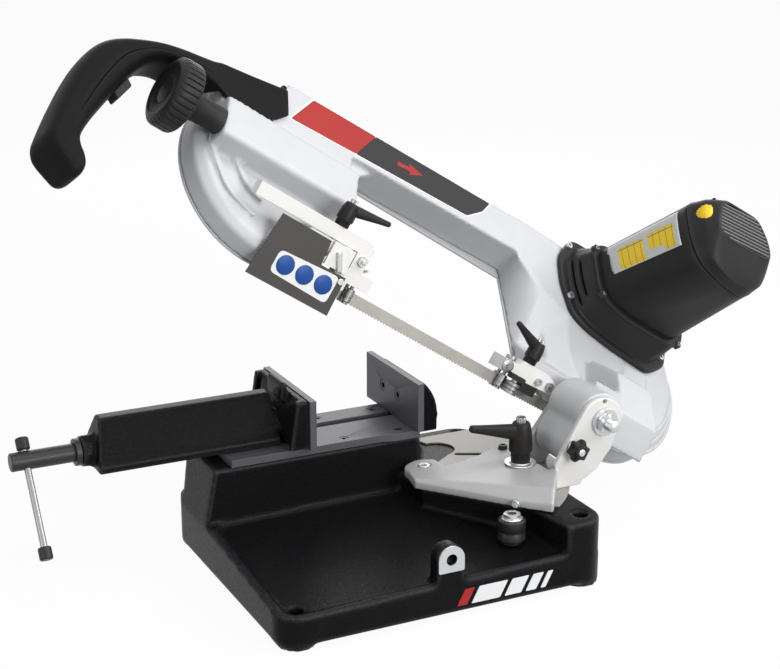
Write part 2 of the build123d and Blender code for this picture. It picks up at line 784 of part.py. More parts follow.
def wheel(place, hub_bore):
    with BuildPart() as made:
        with BuildSketch(bow.offset(-9.8)):
            with Locations(place):
                Circle(wheel_r)
                Circle(76, mode=Mode.SUBTRACT)
        extrude(amount=11.3)
        with BuildSketch(bow.offset(1.5)):
            with Locations(place):
                Circle(88)
                Circle(76, mode=Mode.SUBTRACT)
        extrude(amount=2.2)
        with BuildSketch(bow.offset(-7)):
            with Locations(place):
                Circle(77)
                with PolarLocations(50, 5):
                    Circle(15, mode=Mode.SUBTRACT)
        extrude(amount=7)
        with BuildSketch(bow.offset(-14)):
            with Locations(place):
                Circle(24)
        extrude(amount=18)
        with BuildSketch(bow.offset(-20)):
            with Locations(place):
                Circle(hub_bore)
        extrude(amount=40, mode=Mode.SUBTRACT)
    return made


idler_wheel = wheel(idler_at, 16)
keep(idler_wheel, "idler_wheel")
drive_wheel = wheel(drive_at, 10)
keep(drive_wheel, "drive_wheel")

with BuildPart() as idler_bearings:
    for start in (-13.5, -4):
        with BuildSketch(bow.offset(start)):
            with Locations(idler_at):
                Circle(16)
                Circle(8.05, mode=Mode.SUBTRACT)
        extrude(amount=7.5)
keep(idler_bearings, "idler_bearings")

with BuildPart() as idler_axle:
    with BuildSketch(bow.offset(-16)):
        with Locations(idler_at):
            Circle(8)
    extrude(amount=40)
    with BuildSketch(bow.offset(-16)):
        with Locations(idler_at):
            Circle(11)
    extrude(amount=2.2)
keep(idler_axle, "idler_axle")

with BuildPart() as tension_slider:
    with BuildSketch(bow_end.offset(-249)):
        with Locations((0, 22.3)):
            Rectangle(27.4, 26.8)
    extrude(amount=60)
    with BuildSketch(bow.offset(0)):
        with Locations(idler_at):
            Circle(8)
    extrude(amount=24, mode=Mode.SUBTRACT)
    with BuildSketch(bow_end.offset(-260)):
        with Locations((0, 30)):
            Circle(5.05)
    extrude(amount=80, mode=Mode.SUBTRACT)
keep(tension_slider, "tension_slider")

with BuildPart() as tension_screw:
    with BuildSketch(bow_end.offset(-350)):
        with Locations((0, 30)):
            Circle(5)
    extrude(amount=165)
keep(tension_screw, "tension_screw")

with BuildPart() as tension_knob:
    with BuildSketch(bow_end.offset(-345)):
        with Locations((0, 30)):
            Circle(15)
    extrude(amount=41.5)
    with BuildSketch(bow_end.offset(-366)):
        with Locations((0, 30)):
            Circle(34.5)
            with PolarLocations(34.5, 36):
                RectangleRounded(3, 3.4, 1)
    extrude(amount=21)
    with BuildSketch(bow_end.offset(-372)):
        with Locations((0, 30)):
            Circle(25)
    with BuildSketch(bow_end.offset(-366)):
        with Locations((0, 30)):
            Circle(34)
    loft()
    with BuildSketch(bow_end.offset(-350)):
        with Locations((0, 30)):
            Circle(5)
    extrude(amount=60, mode=Mode.SUBTRACT)
keep(tension_knob, "tension_knob")

# Band: two half turns, the straight return run and the twisted cutting run

def band_section(u, turn):
    across_dir = m_dir * cos(radians(turn)) + w_dir * sin(radians(turn))
    return Plane(origin=cut_origin + u_dir * u, x_dir=across_dir, z_dir=u_dir)


guide_left_u, guide_right_u = -108, 105
band_turn = 90 - wheel_lean
twist_room = 28
left_twist = (idler_u + twist_room, guide_left_u - 14)
right_twist = (guide_right_u + 14, drive_u - twist_room)
band_stations = [(idler_u, 0)]
band_stations += [
    (left_twist[0] + (left_twist[1] - left_twist[0]) * i / 6, band_turn * i / 6) for i in range(7)
]
band_stations += [
    (right_twist[0] + (right_twist[1] - right_twist[0]) * i / 6, band_turn * (1 - i / 6)) for i in range(7)
]
band_stations += [(drive_u, 0)]
band_low, band_high = wheel_m - blade_w / 2, wheel_m + blade_w / 2
band_in = wheel_r + 0.05

with BuildPart() as band_blade:
    for u, turn in band_stations:
        with BuildSketch(band_section(u, turn)):
            Rectangle(blade_w, blade_t)
    loft(ruled=True)
    with BuildSketch(bow.offset(band_low)):
        with BuildLine():
            CenterArc(idler_at, band_in + blade_t, 90, 180)
            Line((idler_u, -band_in - blade_t), (idler_u, -band_in))
            CenterArc(idler_at, band_in, 90, 180)
            Line((idler_u, band_in), (idler_u, band_in + blade_t))
        make_face()
        with BuildLine():
            CenterArc(drive_at, band_in + blade_t, -90, 180)
            Line((drive_u, band_in + blade_t), (drive_u, band_in))
            CenterArc(drive_at, band_in, -90, 180)
            Line((drive_u, -band_in), (drive_u, -band_in - blade_t))
        make_face()
        Polygon(
            (idler_u, band_in), (drive_u, band_in), (drive_u, band_in + blade_t), (idler_u, band_in + blade_t),
            align=None,
        )
    extrude(amount=blade_w)
keep(band_blade, "band_blade")

# Drive train

def gear_outline(teeth, first):
    pitch = 360 / teeth
    root, tip = gear_module * (teeth / 2 - 1.25), gear_module * (teeth / 2 + 0.9)
    steps = ((-0.26, root), (-0.09, tip), (0.09, tip), (0.26, root))
    return [
        (r * cos(radians(first + (i + k) * pitch)), r * sin(radians(first + (i + k) * pitch)))
        for i in range(teeth)
        for k, r in steps
    ]


def heading(start, end):
    return degrees(atan2(end[1] - start[1], end[0] - start[0]))


to_mid_from_rotor = heading(motor_at, mid_at)
to_drive_from_mid = heading(mid_at, drive_at)

with BuildPart() as bearing_carrier:
    with BuildSketch(bow.offset(5.2)):
        with Locations(drive_at):
            Circle(42.4)
            Circle(19, mode=Mode.SUBTRACT)
    extrude(amount=8)
keep(bearing_carrier, "bearing_carrier")

with BuildPart() as drive_shaft:
    with BuildSketch(bow.offset(-16.5)):
        with Locations(drive_at):
            Circle(10)
    extrude(amount=38)
    with BuildSketch(bow.offset(-16.5)):
        with Locations(drive_at):
            RegularPolygon(12, 6)
    extrude(amount=2.3)
keep(drive_shaft, "drive_shaft")

with BuildPart() as drive_gear:
    with BuildSketch(bow.offset(14)):
        with Locations(drive_at):
            Polygon(*gear_outline(drive_teeth, to_drive_from_mid + 180 + 180 / drive_teeth), align=None)
            Circle(10, mode=Mode.SUBTRACT)
    extrude(amount=7.5)
keep(drive_gear, "drive_gear")

with BuildPart() as middle_gear:
    with BuildSketch(bow.offset(14)):
        with Locations(mid_at):
            Polygon(*gear_outline(mid_pinion_teeth, to_drive_from_mid), align=None)
    extrude(amount=8)
    with BuildSketch(bow.offset(22)):
        with Locations(mid_at):
            Circle(5.5)
    extrude(amount=37)
    with BuildSketch(bow.offset(36)):
        with Locations(mid_at):
            Polygon(*gear_outline(mid_wheel_teeth, to_mid_from_rotor + 180 + 180 / mid_wheel_teeth), align=None)
    extrude(amount=8)
keep(middle_gear, "middle_gear")

with BuildPart() as motor_rotor:
    with BuildSketch(bow.offset(36)):
        with Locations(motor_at):
            Polygon(*gear_outline(rotor_teeth, to_mid_from_rotor), align=None)
    extrude(amount=8)
    for start, end, r in ((44, 206, 6), (68, 80, 31), (96, 158, 22.5), (164, 180, 14)):
        with BuildSketch(bow.offset(start)):
            with Locations(motor_at):
                Circle(r)
        extrude(amount=end - start)
keep(motor_rotor, "motor_rotor")

with BuildPart() as drive_bearings:
    for place, outer, inner, start, width in (
        (drive_at, 19, 10.05, 5.4, 3.8),
        (drive_at, 19, 10.05, 9.4, 3.8),
        (motor_at, 11, 6.05, 56.2, 4.6),
        (motor_at, 11, 6.05, 198, 4.6),
    ):
        with BuildSketch(bow.offset(start)):
            with Locations(place):
                Circle(outer)
                Circle(inner, mode=Mode.SUBTRACT)
        extrude(amount=width)
keep(drive_bearings, "drive_bearings")

with BuildPart() as motor_stator:
    with BuildSketch(bow.offset(98)):
        with Locations(motor_at):
            Circle(34)
            Circle(23.2, mode=Mode.SUBTRACT)
    extrude(amount=58)
keep(motor_stator, "motor_stator")

flange_edge = [
    (160, 92), (165, 58), (182, 24), (206, 14), (246, 8), (308, 4), (334, 24), (340, 70), (318, 130), (176, 124),
]
gearbox_edge = [
    (184, 98), (187, 78), (194, 47), (208, 35), (240, 29), (316, 30), (328, 42), (330, 78), (312, 124), (196, 110),
]
body_edge = [
    (189, 96), (191, 76), (198, 49), (210, 38), (240, 33), (308, 34), (318, 44), (320, 76), (304, 122), (199, 106),
]
seam_edge = [
    (190, 92), (192, 66), (200, 38), (213, 24), (242, 15), (276, 14), (296, 32), (304, 70), (288, 122), (200, 104),
]
cap_edge = [
    (196, 94), (197, 66), (204, 38), (216, 24), (242, 15), (278, 18), (297, 36), (302, 70), (286, 119), (206, 104),
]
end_edge = [
    (210, 92), (206, 70), (206, 56), (214, 50), (236, 49), (280, 54), (294, 60), (292, 82), (276, 106), (220, 102),
]


def shrunk(edge, share):
    return [(motor_u + (u - motor_u) * share, motor_w + (w - motor_w) * share) for u, w in edge]


flange_screw_places = [(172, 112), (176, 44), (326, 34), (320, 104)]

with BuildPart() as gearbox_housing:
    with BuildSketch(bow.offset(25.3)):
        Polygon(*flange_edge, align=None)
    extrude(amount=7)
    with BuildSketch(bow.offset(32.3)):
        Polygon(*shrunk(flange_edge, 0.93), align=None)
    with BuildSketch(bow.offset(61)):
        Polygon(*gearbox_edge, align=None)
    loft(ruled=True)
    with BuildSketch(bow.offset(33)):
        Polygon(*shrunk(gearbox_edge, 0.86), align=None)
        with Locations(mid_at):
            Circle(25)
    extrude(amount=13, mode=Mode.SUBTRACT)
    with BuildSketch(bow.offset(45)):
        Polygon(*shrunk(gearbox_edge, 0.84), align=None)
    extrude(amount=11, mode=Mode.SUBTRACT)
    with BuildSketch(bow.offset(20)):
        with Locations(mid_at):
            Circle(5.55)
    extrude(amount=50, mode=Mode.SUBTRACT)
    with BuildSketch(bow.offset(50)):
        with Locations(motor_at):
            Circle(11)
    extrude(amount=20, mode=Mode.SUBTRACT)
    with BuildSketch(bow.offset(32.3)):
        with Locations(*flange_screw_places):
            Circle(5.5)
    extrude(amount=14, mode=Mode.SUBTRACT)
    for slot_m in (40, 48):
        with BuildSketch(bow_end.offset(170)):
            with Locations((80, slot_m)):
                SlotOverall(26, 3, rotation=0)
        extrude(amount=24, mode=Mode.SUBTRACT)
keep(gearbox_housing, "gearbox_housing")

with BuildPart() as motor_housing:
    with BuildSketch(bow.offset(61.3)):
        Polygon(*body_edge, align=None)
    with BuildSketch(bow.offset(190)):
        Polygon(*seam_edge, align=None)
    loft(ruled=True)
    with BuildSketch(bow.offset(61.3)):
        Polygon(*shrunk(body_edge, 0.93), align=None)
    with BuildSketch(bow.offset(190)):
        Polygon(*shrunk(seam_edge, 0.92), align=None)
    loft(ruled=True, mode=Mode.SUBTRACT)
keep(motor_housing, "motor_housing")

dial_at, dial_m = (208, 80), 196

with BuildPart() as motor_end_cap:
    with BuildSketch(bow.offset(190.3)):
        Polygon(*seam_edge, align=None)
    with BuildSketch(bow.offset(205)):
        Polygon(*cap_edge, align=None)
    with BuildSketch(bow.offset(222)):
        Polygon(*end_edge, align=None)
    loft(ruled=True)
    with BuildSketch(bow.offset(190.3)):
        Polygon(*shrunk(seam_edge, 0.91), align=None)
    with BuildSketch(bow.offset(205)):
        Polygon(*shrunk(cap_edge, 0.88), align=None)
    with BuildSketch(bow.offset(217)):
        Polygon(*shrunk(end_edge, 0.8), align=None)
    loft(ruled=True, mode=Mode.SUBTRACT)
    with BuildSketch(bow.offset(196)):
        with Locations(motor_at):
            Circle(14)
    extrude(amount=22)
    with BuildSketch(bow.offset(190)):
        with Locations(motor_at):
            Circle(11)
    extrude(amount=18, mode=Mode.SUBTRACT)
    with BuildSketch(bow.offset(216)):
        for row in range(8):
            with Locations((253 + row * 1.5, 59 + row * 5.5)):
                SlotOverall(56 - row * 2, 2.6, rotation=9)
    extrude(amount=8, mode=Mode.SUBTRACT)
    with BuildSketch(bow.offset(dial_m - 0.4)):
        with Locations(dial_at):
            Circle(14.5)
    extrude(amount=9.8, mode=Mode.SUBTRACT)
keep(motor_end_cap, "motor_end_cap")

with BuildPart() as speed_dial:
    with BuildSketch(bow.offset(dial_m)):
        with Locations(dial_at):
            Circle(13)
            with PolarLocations(13, 18):
                Circle(1)
    extrude(amount=9)
keep(speed_dial, "speed_dial")

# Handle

handle_edge = [
    (-232, 86), (-302, 75), (-374, 54), (-420, 34), (-440, 16), (-460, -37), (-470, -106), (-467, -124),
    (-442, -145), (-429, -126), (-435, -106), (-427, -55), (-414, -28), (-396, 10), (-385, 26), (-350, 39),
    (-322, 46), (-296, 34), (-243, 38), (-228, 54),
]
grip_back, grip_split, grip_front = -12, 12, 36


with BuildPart() as handle_room:
    with BuildSketch(bow_end.offset(-378)):
        with Locations((0, 30)):
            Circle(38.5)
    extrude(amount=36)
    with BuildSketch(bow_end.offset(-345)):
        with Locations((0, 30)):
            Circle(16)
    extrude(amount=50)
    with BuildSketch(bow.offset(4.4)):
        Polygon((-436, -18), (-400, -36), (-384, -4), (-417, 20), align=None)
    extrude(amount=15.2)

with BuildSketch(Plane.XY) as handle_shape:
    Polygon(*handle_edge, align=None)
    fillet(handle_shape.vertices(), 5)

with BuildPart() as handle_front:
    with BuildSketch(bow.offset(grip_split + 0.1)):
        add(handle_shape.sketch)
        with Locations((-416, -20)):
            Rectangle(200, 260, mode=Mode.INTERSECT)
    extrude(amount=14)
    with BuildSketch(bow.offset(25.3)):
        add(handle_shape.sketch)
    extrude(amount=grip_front - 25.3)
    fillet(handle_front.faces().sort_by(Axis(bow_origin, m_dir))[-1].edges(), 6)
    add(handle_room.part, mode=Mode.SUBTRACT)
keep(handle_front, "handle_front")

with BuildPart() as handle_rear:
    with BuildSketch(bow.offset(grip_back)):
        add(handle_shape.sketch)
        with Locations((-416, -20)):
            Rectangle(200, 260, mode=Mode.INTERSECT)
    extrude(amount=grip_split - grip_back - 0.1)
    fillet(handle_rear.faces().sort_by(Axis(bow_origin, m_dir))[0].edges(), 6)
    add(handle_room.part, mode=Mode.SUBTRACT)
keep(handle_rear, "handle_rear")

with BuildPart() as trigger:
    with BuildSketch(bow.offset(5)):
        Polygon((-425, -14), (-407, -31), (-396, -7), (-413, 11), align=None)
    extrude(amount=14)
keep(trigger, "trigger")

# Blade guides

def roller(u, side):
    with BuildPart() as made:
        with BuildSketch(cut_down.offset(-5)):
            with Locations((u, side * (blade_t / 2 + 0.1 + 5))):
                Circle(5)
                Circle(2.05, mode=Mode.SUBTRACT)
        extrude(amount=14)
    return made


def roller_pins(u):
    with BuildPart() as made:
        with BuildSketch(cut_down.offset(-6)):
            with Locations((u, -5.425), (u, 5.425)):
                Circle(2)
        extrude(amount=24)
        with BuildSketch(cut_down.offset(-7.6)):
            with Locations((u, -5.425), (u, 5.425)):
                Circle(3.6)
        extrude(amount=2)
    return made


def clamp_lever(u, n, y, toward):
    hub = Plane(origin=cut_origin + u_dir * u + Vector(0, y - blade_y, 0), x_dir=u_dir, z_dir=n_dir)
    arm = Plane(origin=hub.offset(n + 18).origin, x_dir=(0, 1, 0), z_dir=toward)
    with BuildPart() as made:
        with BuildSketch(hub.offset(n)):
            Circle(9)
        with BuildSketch(hub.offset(n + 25)):
            Circle(7.5)
        loft()
        with BuildSketch(arm):
            Ellipse(5, 6)
        with BuildSketch(arm.offset(44)):
            Ellipse(4, 3.6)
        loft()
        with BuildSketch(hub.offset(n - 1)):
            Circle(4.05)
        extrude(amount=13, mode=Mode.SUBTRACT)
    return made


guide_y = 13

left_roller_pins = roller_pins(guide_left_u)
keep(left_roller_pins, "left_roller_pins")
right_roller_pins = roller_pins(guide_right_u)
keep(right_roller_pins, "right_roller_pins")

with BuildPart() as left_guide_bar:
    with BuildSketch(at_y(19)):
        Polygon(
            (-256, 44), (-128, 44), (-128, 26), (-141, 26), (-141, 3), (-122, 3), (-122, 12), (-96, 12),
            (-96, 26), (-112, 26), (-112, 52), (-118, 58), (-256, 58), align=None,
        )
    extrude(amount=12)
    with BuildSketch(at_y(36)):
        Polygon((-122, 12), (-96, 12), (-96, 26), (-122, 26), align=None)
    extrude(amount=20)
    with BuildSketch(cut_down.offset(40)):
        with Locations((-175, guide_y - blade_y)):
            SlotOverall(52, 8.4)
    extrude(amount=30, mode=Mode.SUBTRACT)
    with BuildSketch(at_y(6.4)):
        Polygon((-157, 18), (-131, 18), (-131, 43), (-157, 43), align=None)
    extrude(amount=3)
    with BuildSketch(at_y(8)):
        Polygon((-141, 18), (-131, 18), (-131, 25), (-141, 25), align=None)
    extrude(amount=4)
    add(left_roller_pins.part, mode=Mode.SUBTRACT)
keep(left_guide_bar, "left_guide_bar")

left_front_roller = roller(guide_left_u, -1)
keep(left_front_roller, "left_front_roller")
left_rear_roller = roller(guide_left_u, 1)
keep(left_rear_roller, "left_rear_roller")

guard_fix = (-132, 10)
guard_floor = Plane(origin=cut_origin - n_dir * 26 - Vector(0, blade_y, 0), x_dir=u_dir, z_dir=n_dir)

with BuildPart() as blade_guard:
    with BuildSketch(at_y(4)):
        Polygon(
            (-222, 41), (-162, 41), (-159, 15.5), (-128, 15.5), (-126, -26), (-227, -26), align=None,
        )
    extrude(amount=1.6)
    with BuildSketch(guard_floor):
        Polygon((-227, 2.4), (-126, 2.4), (-126, 35), (-203, 35), align=None)
    extrude(amount=1.6)
    with BuildSketch(at_y(6.9)):
        with Locations(guard_fix):
            Circle(4.5)
    extrude(amount=3.5)
keep(blade_guard, "blade_guard")

with BuildPart() as guard_screw:
    with BuildSketch(at_y(2.3)):
        with Locations(guard_fix):
            Circle(3.4)
    extrude(amount=2.6)
keep(guard_screw, "guard_screw")

left_guide_lever = clamp_lever(-156, 58.4, guide_y, (0.89, -0.2, -0.41))
keep(left_guide_lever, "left_guide_lever")

with BuildPart() as right_guide_block:
    with BuildSketch(at_y(21)):
        Polygon((92, 12), (92, 26), (110, 26), (114, 32), (150, 32), (168, 26), (168, 14), (118, 12), align=None)
    extrude(amount=12)
    with BuildSketch(at_y(36)):
        Polygon((92, 12), (118, 12), (118, 26), (92, 26), align=None)
    extrude(amount=20)
    with BuildSketch(cut_down.offset(20)):
        with Locations((124, 15 - blade_y)):
            Circle(4)
    extrude(amount=20, mode=Mode.SUBTRACT)
    add(right_roller_pins.part, mode=Mode.SUBTRACT)
keep(right_guide_block, "right_guide_block")

right_front_roller = roller(guide_right_u, -1)
keep(right_front_roller, "right_front_roller")
right_rear_roller = roller(guide_right_u, 1)
keep(right_rear_roller, "right_rear_roller")

with BuildPart() as guide_studs:
    with BuildSketch(cut_down.offset(30)):
        with Locations((-156, guide_y - blade_y)):
            Circle(4)
    extrude(amount=40)
    with BuildSketch(cut_down.offset(20)):
        with Locations((124, 15 - blade_y)):
            Circle(4)
    extrude(amount=24)
keep(guide_studs, "guide_studs")

right_lever_dir = u_dir * -0.94 + n_dir * 0.3 + Vector(0, -0.15, 0)
right_guide_lever = clamp_lever(124, 32.4, 15, right_lever_dir)
keep(right_guide_lever, "right_guide_lever")

with BuildPart() as bow_screws:
    with BuildSketch(bow.offset(32.4)):
        with Locations(*flange_screw_places):
            Circle(4)
            with Locations((0, 0)):
                RegularPolygon(2, 6, mode=Mode.SUBTRACT)
    extrude(amount=3)
    with BuildSketch(at_y(9)):
        with Locations((142, 20), (158, 20)):
            Circle(4)
    extrude(amount=4)
    with BuildSketch(at_y(5)):
        with Locations((142, 20), (158, 20)):
            RegularPolygon(2.2, 6)
    extrude(amount=-2.4, mode=Mode.SUBTRACT)
keep(bow_screws, "bow_screws")
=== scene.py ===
import json
import math

import bmesh
import bpy
import numpy as np
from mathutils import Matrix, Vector


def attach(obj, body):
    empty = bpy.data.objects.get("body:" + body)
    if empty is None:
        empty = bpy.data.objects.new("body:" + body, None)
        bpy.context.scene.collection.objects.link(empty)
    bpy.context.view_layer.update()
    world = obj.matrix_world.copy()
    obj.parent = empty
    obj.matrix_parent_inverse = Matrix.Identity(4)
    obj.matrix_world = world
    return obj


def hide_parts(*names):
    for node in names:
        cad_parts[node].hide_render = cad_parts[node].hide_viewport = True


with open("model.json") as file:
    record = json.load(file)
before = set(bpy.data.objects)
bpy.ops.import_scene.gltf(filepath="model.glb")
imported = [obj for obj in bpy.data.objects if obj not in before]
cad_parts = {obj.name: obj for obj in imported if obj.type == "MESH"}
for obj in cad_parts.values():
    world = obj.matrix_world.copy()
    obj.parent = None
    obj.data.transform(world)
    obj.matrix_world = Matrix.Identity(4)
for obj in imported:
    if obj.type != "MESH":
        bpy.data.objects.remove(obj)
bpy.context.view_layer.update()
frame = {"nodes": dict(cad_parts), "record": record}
nodes = frame["nodes"]
nodeBody = {n: body for body, names in frame["record"]["behaviour"]["bodies"].items() for n in names}
print("frame loaded:", len(nodes), "nodes")

mm = 0.001
# the bow's axes: u along the arm, w across it in the wheel plane, m out of the wheel faces
# n stands square to the cut
bowRise, wheelLean = math.radians(33.2), math.radians(42)
xAxis, yAxis, zAxis = np.eye(3)
uAxis = np.array([math.cos(bowRise), 0.0, -math.sin(bowRise)])
nAxis = np.array([math.sin(bowRise), 0.0, math.cos(bowRise)])
wAxis = yAxis * math.sin(wheelLean) + nAxis * math.cos(wheelLean)
mAxis = nAxis * math.sin(wheelLean) - yAxis * math.cos(wheelLean)
bowOrigin = np.array([93.95, 77.13, 284.25])
bladeMid, wheelM = 86.025, -5.3
cutOrigin = bowOrigin - wAxis * bladeMid + mAxis * wheelM
bladeY = cutOrigin[1]
idlerU, driveU = -219.0, 265.0


def bowPoint(u, w, m):  # bow millimetres to metres in the frame, whole arrays
    u, w, m = np.broadcast_arrays(*np.atleast_1d(u, w, m))
    point = bowOrigin + u[..., None] * uAxis + w[..., None] * wAxis + m[..., None] * mAxis
    return np.squeeze(point * mm)


def cutPoint(u, y, n):  # along the cut, frame y, height over the blade line
    u, y, n = np.broadcast_arrays(*np.atleast_1d(u, y, n))
    point = cutOrigin + u[..., None] * uAxis + n[..., None] * nAxis + (y - bladeY)[..., None] * yAxis
    return np.squeeze(point * mm)


def basePoint(x, y, z):  # frame millimetres to metres
    x, y, z = np.broadcast_arrays(*np.atleast_1d(x, y, z))
    return np.squeeze(np.stack([x, y, z], -1) * mm)


def turns(count):  # even angles once round
    return np.linspace(0, 2 * np.pi, count, endpoint=False)


class Signal:  # a shader socket that sums can be done with
    def __init__(self, tree, socket=None):
        self.tree, self.socket = tree, socket

    def node(self, kind, settings=None, sockets=None, out=0):
        made = self.tree.nodes.new(kind)
        for key, value in (settings or {}).items():
            setattr(made, key, value)
        for key, value in (sockets or {}).items():
            if isinstance(value, Signal):
                self.tree.links.new(value.socket, made.inputs[key])
            else:
                made.inputs[key].default_value = value
        return Signal(self.tree, made.outputs[out] if len(made.outputs) else None)

    def reckon(self, operation, first, second=0.0):
        return self.node("ShaderNodeMath", {"operation": operation}, {0: first, 1: second})

    def __add__(self, other):
        return self.reckon("ADD", self, other)

    def __radd__(self, other):
        return self.reckon("ADD", other, self)

    def __sub__(self, other):
        return self.reckon("SUBTRACT", self, other)

    def __rsub__(self, other):
        return self.reckon("SUBTRACT", other, self)

    def __mul__(self, other):
        return self.reckon("MULTIPLY", self, other)

    def __rmul__(self, other):
        return self.reckon("MULTIPLY", other, self)

    def __gt__(self, other):
        return self.reckon("GREATER_THAN", self, other)

    def __lt__(self, other):
        return self.reckon("LESS_THAN", self, other)

    def held(self):  # kept between 0 and 1
        return self.node("ShaderNodeClamp", {}, {"Value": self})

    def parts(self):  # the three numbers of a vector
        split = self.node("ShaderNodeSeparateXYZ", {}, {"Vector": self})
        return [Signal(self.tree, socket) for socket in split.socket.node.outputs]


def startFinish(name):
    material = bpy.data.materials.new(name)
    material.use_nodes = True
    material.node_tree.nodes.clear()
    pen = Signal(material.node_tree)
    return material, pen, pen.node("ShaderNodeTexCoord", out="Object")


def closeFinish(pen, sockets, height=None, bump=0.2, depth=0.0004):
    if height is not None:
        relief = {"Strength": bump, "Distance": depth, "Height": height}
        sockets["Normal"] = pen.node("ShaderNodeBump", {}, relief)
    pen.node("ShaderNodeOutputMaterial", {}, {"Surface": pen.node("ShaderNodeBsdfPrincipled", {}, sockets)})


def noise(pen, spot, scale, detail=2.0, rough=0.5):
    grain = {"Vector": spot, "Scale": scale, "Detail": detail, "Roughness": rough}
    return pen.node("ShaderNodeTexNoise", {}, grain)


def blend(pen, share, first, second):  # colour mix by a share, colours given or already mixed
    first, second = [c if isinstance(c, Signal) else (*c, 1) for c in (first, second)]
    return pen.node("ShaderNodeMix", {"data_type": "RGBA"}, {0: share, 6: first, 7: second}, out=2)


def edgeShare(pen, gain):  # how far a point stands on an outer edge, from the mesh's own curvature; the finishes paint highlights with it
    point = pen.node("ShaderNodeNewGeometry", out="Pointiness")
    return ((point - 0.508) * gain).held()


def cornerShare(pen, reach, gain):  # how far the faces turn within a short reach, for meshes with few points; used to paint highlights on convex and concave edges alike
    soft = pen.node("ShaderNodeBevel", {"samples": 4}, {"Radius": reach})
    flat = pen.node("ShaderNodeNewGeometry", out="Normal")
    agree = pen.node("ShaderNodeVectorMath", {"operation": "DOT_PRODUCT"}, {0: soft, 1: flat}, out="Value")
    return ((1 - agree) * gain).held()


def crackleFinish(name, look):  # thick textured paint: rounded cells, with painted highlights lightening its edges
    material, pen, spot = startFinish(name)
    cell = {"Vector": spot, "Scale": look["cells"], "Smoothness": 0.6}
    cells = pen.node("ShaderNodeTexVoronoi", {"feature": "SMOOTH_F1"}, cell)
    mottle = noise(pen, spot, look["cells"] * 0.45, 3.0)
    # painted highlight: outer edges are lightened towards the edge colour where lamps would glint on the rims
    edgeHighlight = edgeShare(pen, look["edgeGain"]) * (mottle + 0.25)
    tint = blend(pen, edgeHighlight.held(), blend(pen, mottle, look["dark"], look["light"]), look["edge"])
    closeFinish(
        pen,
        {"Base Color": tint, "Roughness": mottle * 0.2 + look["rough"], "Specular IOR Level": look["shine"]},
        cells * 0.7 + mottle * 0.5, look["bump"], look["depth"],
    )
    return material


def silverFinish(name, look):  # metallic paint over a casting: fine flake, faint unevenness, painted highlights on the edges
    material, pen, spot = startFinish(name)
    flake = noise(pen, spot, look["flake"], 1.0)
    wave = noise(pen, spot, 38.0, 3.0)
    body = blend(pen, flake * 0.65 + wave * 0.35, look["dark"], look["light"])
    if "ear" in look:  # the plate at the front of the hinge is faced bright: partly its own lighter machined face, partly painted light standing in for the front lamp on it
        x, y, _ = spot.parts()
        left, back = look["earFrom"]
        body = blend(pen, (x > left) * (y < back), body, blend(pen, flake, *look["ear"]))
    # painted highlight: edges and corners are lightened towards the edge colour
    rim = edgeShare(pen, look["edgeGain"]) if "edgeGain" in look else cornerShare(pen, *look["corner"])
    tint = blend(pen, rim * (wave + 0.3), body, look["edge"])
    closeFinish(
        pen,
        {
            "Base Color": tint, "Metallic": look["metal"], "Roughness": flake * 0.12 + look["rough"],
            "Specular IOR Level": look["shine"],
        },
        flake * 0.35 + wave, look["bump"], look["depth"],
    )
    return material


def brushedFinish(name, look):  # machined metal: noise drawn out along one axis, stains and scuffs
    material, pen, spot = startFinish(name)
    drawn = pen.node("ShaderNodeMapping", {}, {"Vector": spot, "Scale": look["stretch"]})
    lines = noise(pen, drawn, look["lines"], 3.0, 0.6)
    stain = noise(pen, spot, 55.0, 4.0)
    tint = blend(pen, lines * 0.5 + stain * 0.5, look["dark"], look["light"])
    # an edge colour, where a look gives one, paints a highlight on the edges
    if "edge" in look:
        tint = blend(pen, edgeShare(pen, 9.0), tint, look["edge"])
    closeFinish(
        pen,
        {"Base Color": tint, "Metallic": look["metal"], "Roughness": lines * 0.18 + look["rough"]},
        lines, look["bump"], 0.0002,
    )
    return material


def plasticFinish(name, look):  # moulded plastic: fine spark-eroded grain and slight sheen changes
    material, pen, spot = startFinish(name)
    grain = noise(pen, spot, look["grain"], 2.0)
    cloud = noise(pen, spot, 24.0, 2.0)
    tint = blend(pen, grain * 0.5 + cloud * 0.5, look["dark"], look["light"])
    # painted highlight: the edge colour lightens the edges where lamps would glint
    if "edge" in look:
        tint = blend(pen, edgeShare(pen, 7.0) * 0.8, tint, look["edge"])
    closeFinish(
        pen,
        {"Base Color": tint, "Roughness": grain * 0.14 + cloud * 0.08 + look["rough"],
         "Specular IOR Level": look["shine"]},
        grain, look["bump"], 0.00025,
    )
    return material


def tableFinish(name, look):  # a plain two-block table printed on a plate: yellow fields, thin grid lines
    material, pen, spot = startFinish(name)
    across, along, _ = pen.node("ShaderNodeUVMap", {"uv_map": "sheet"}).parts()
    left = (along > 0.13) * (along < 0.50) * (across > 0.14) * (across < 0.96)
    right = (along > 0.57) * (along < 0.93) * (across > 0.12) * (across < 0.62)
    foot = (along > 0.78) * (along < 0.93) * (across > 0.60) * (across < 0.86)
    cells = pen.reckon("FRACT", along * 11.0) < 0.07
    rows = pen.reckon("FRACT", across * 6.0) < 0.07
    field = (left + right + foot).held()
    lines = field * (cells + rows).held()
    grain = noise(pen, spot, 1800.0)
    plain = blend(pen, grain, look["dark"], look["light"])
    tint = blend(pen, lines, blend(pen, field, plain, look["field"]), look["line"])
    closeFinish(pen, {"Base Color": tint, "Roughness": grain * 0.1 + 0.34}, grain, 0.05, 0.0002)
    return material
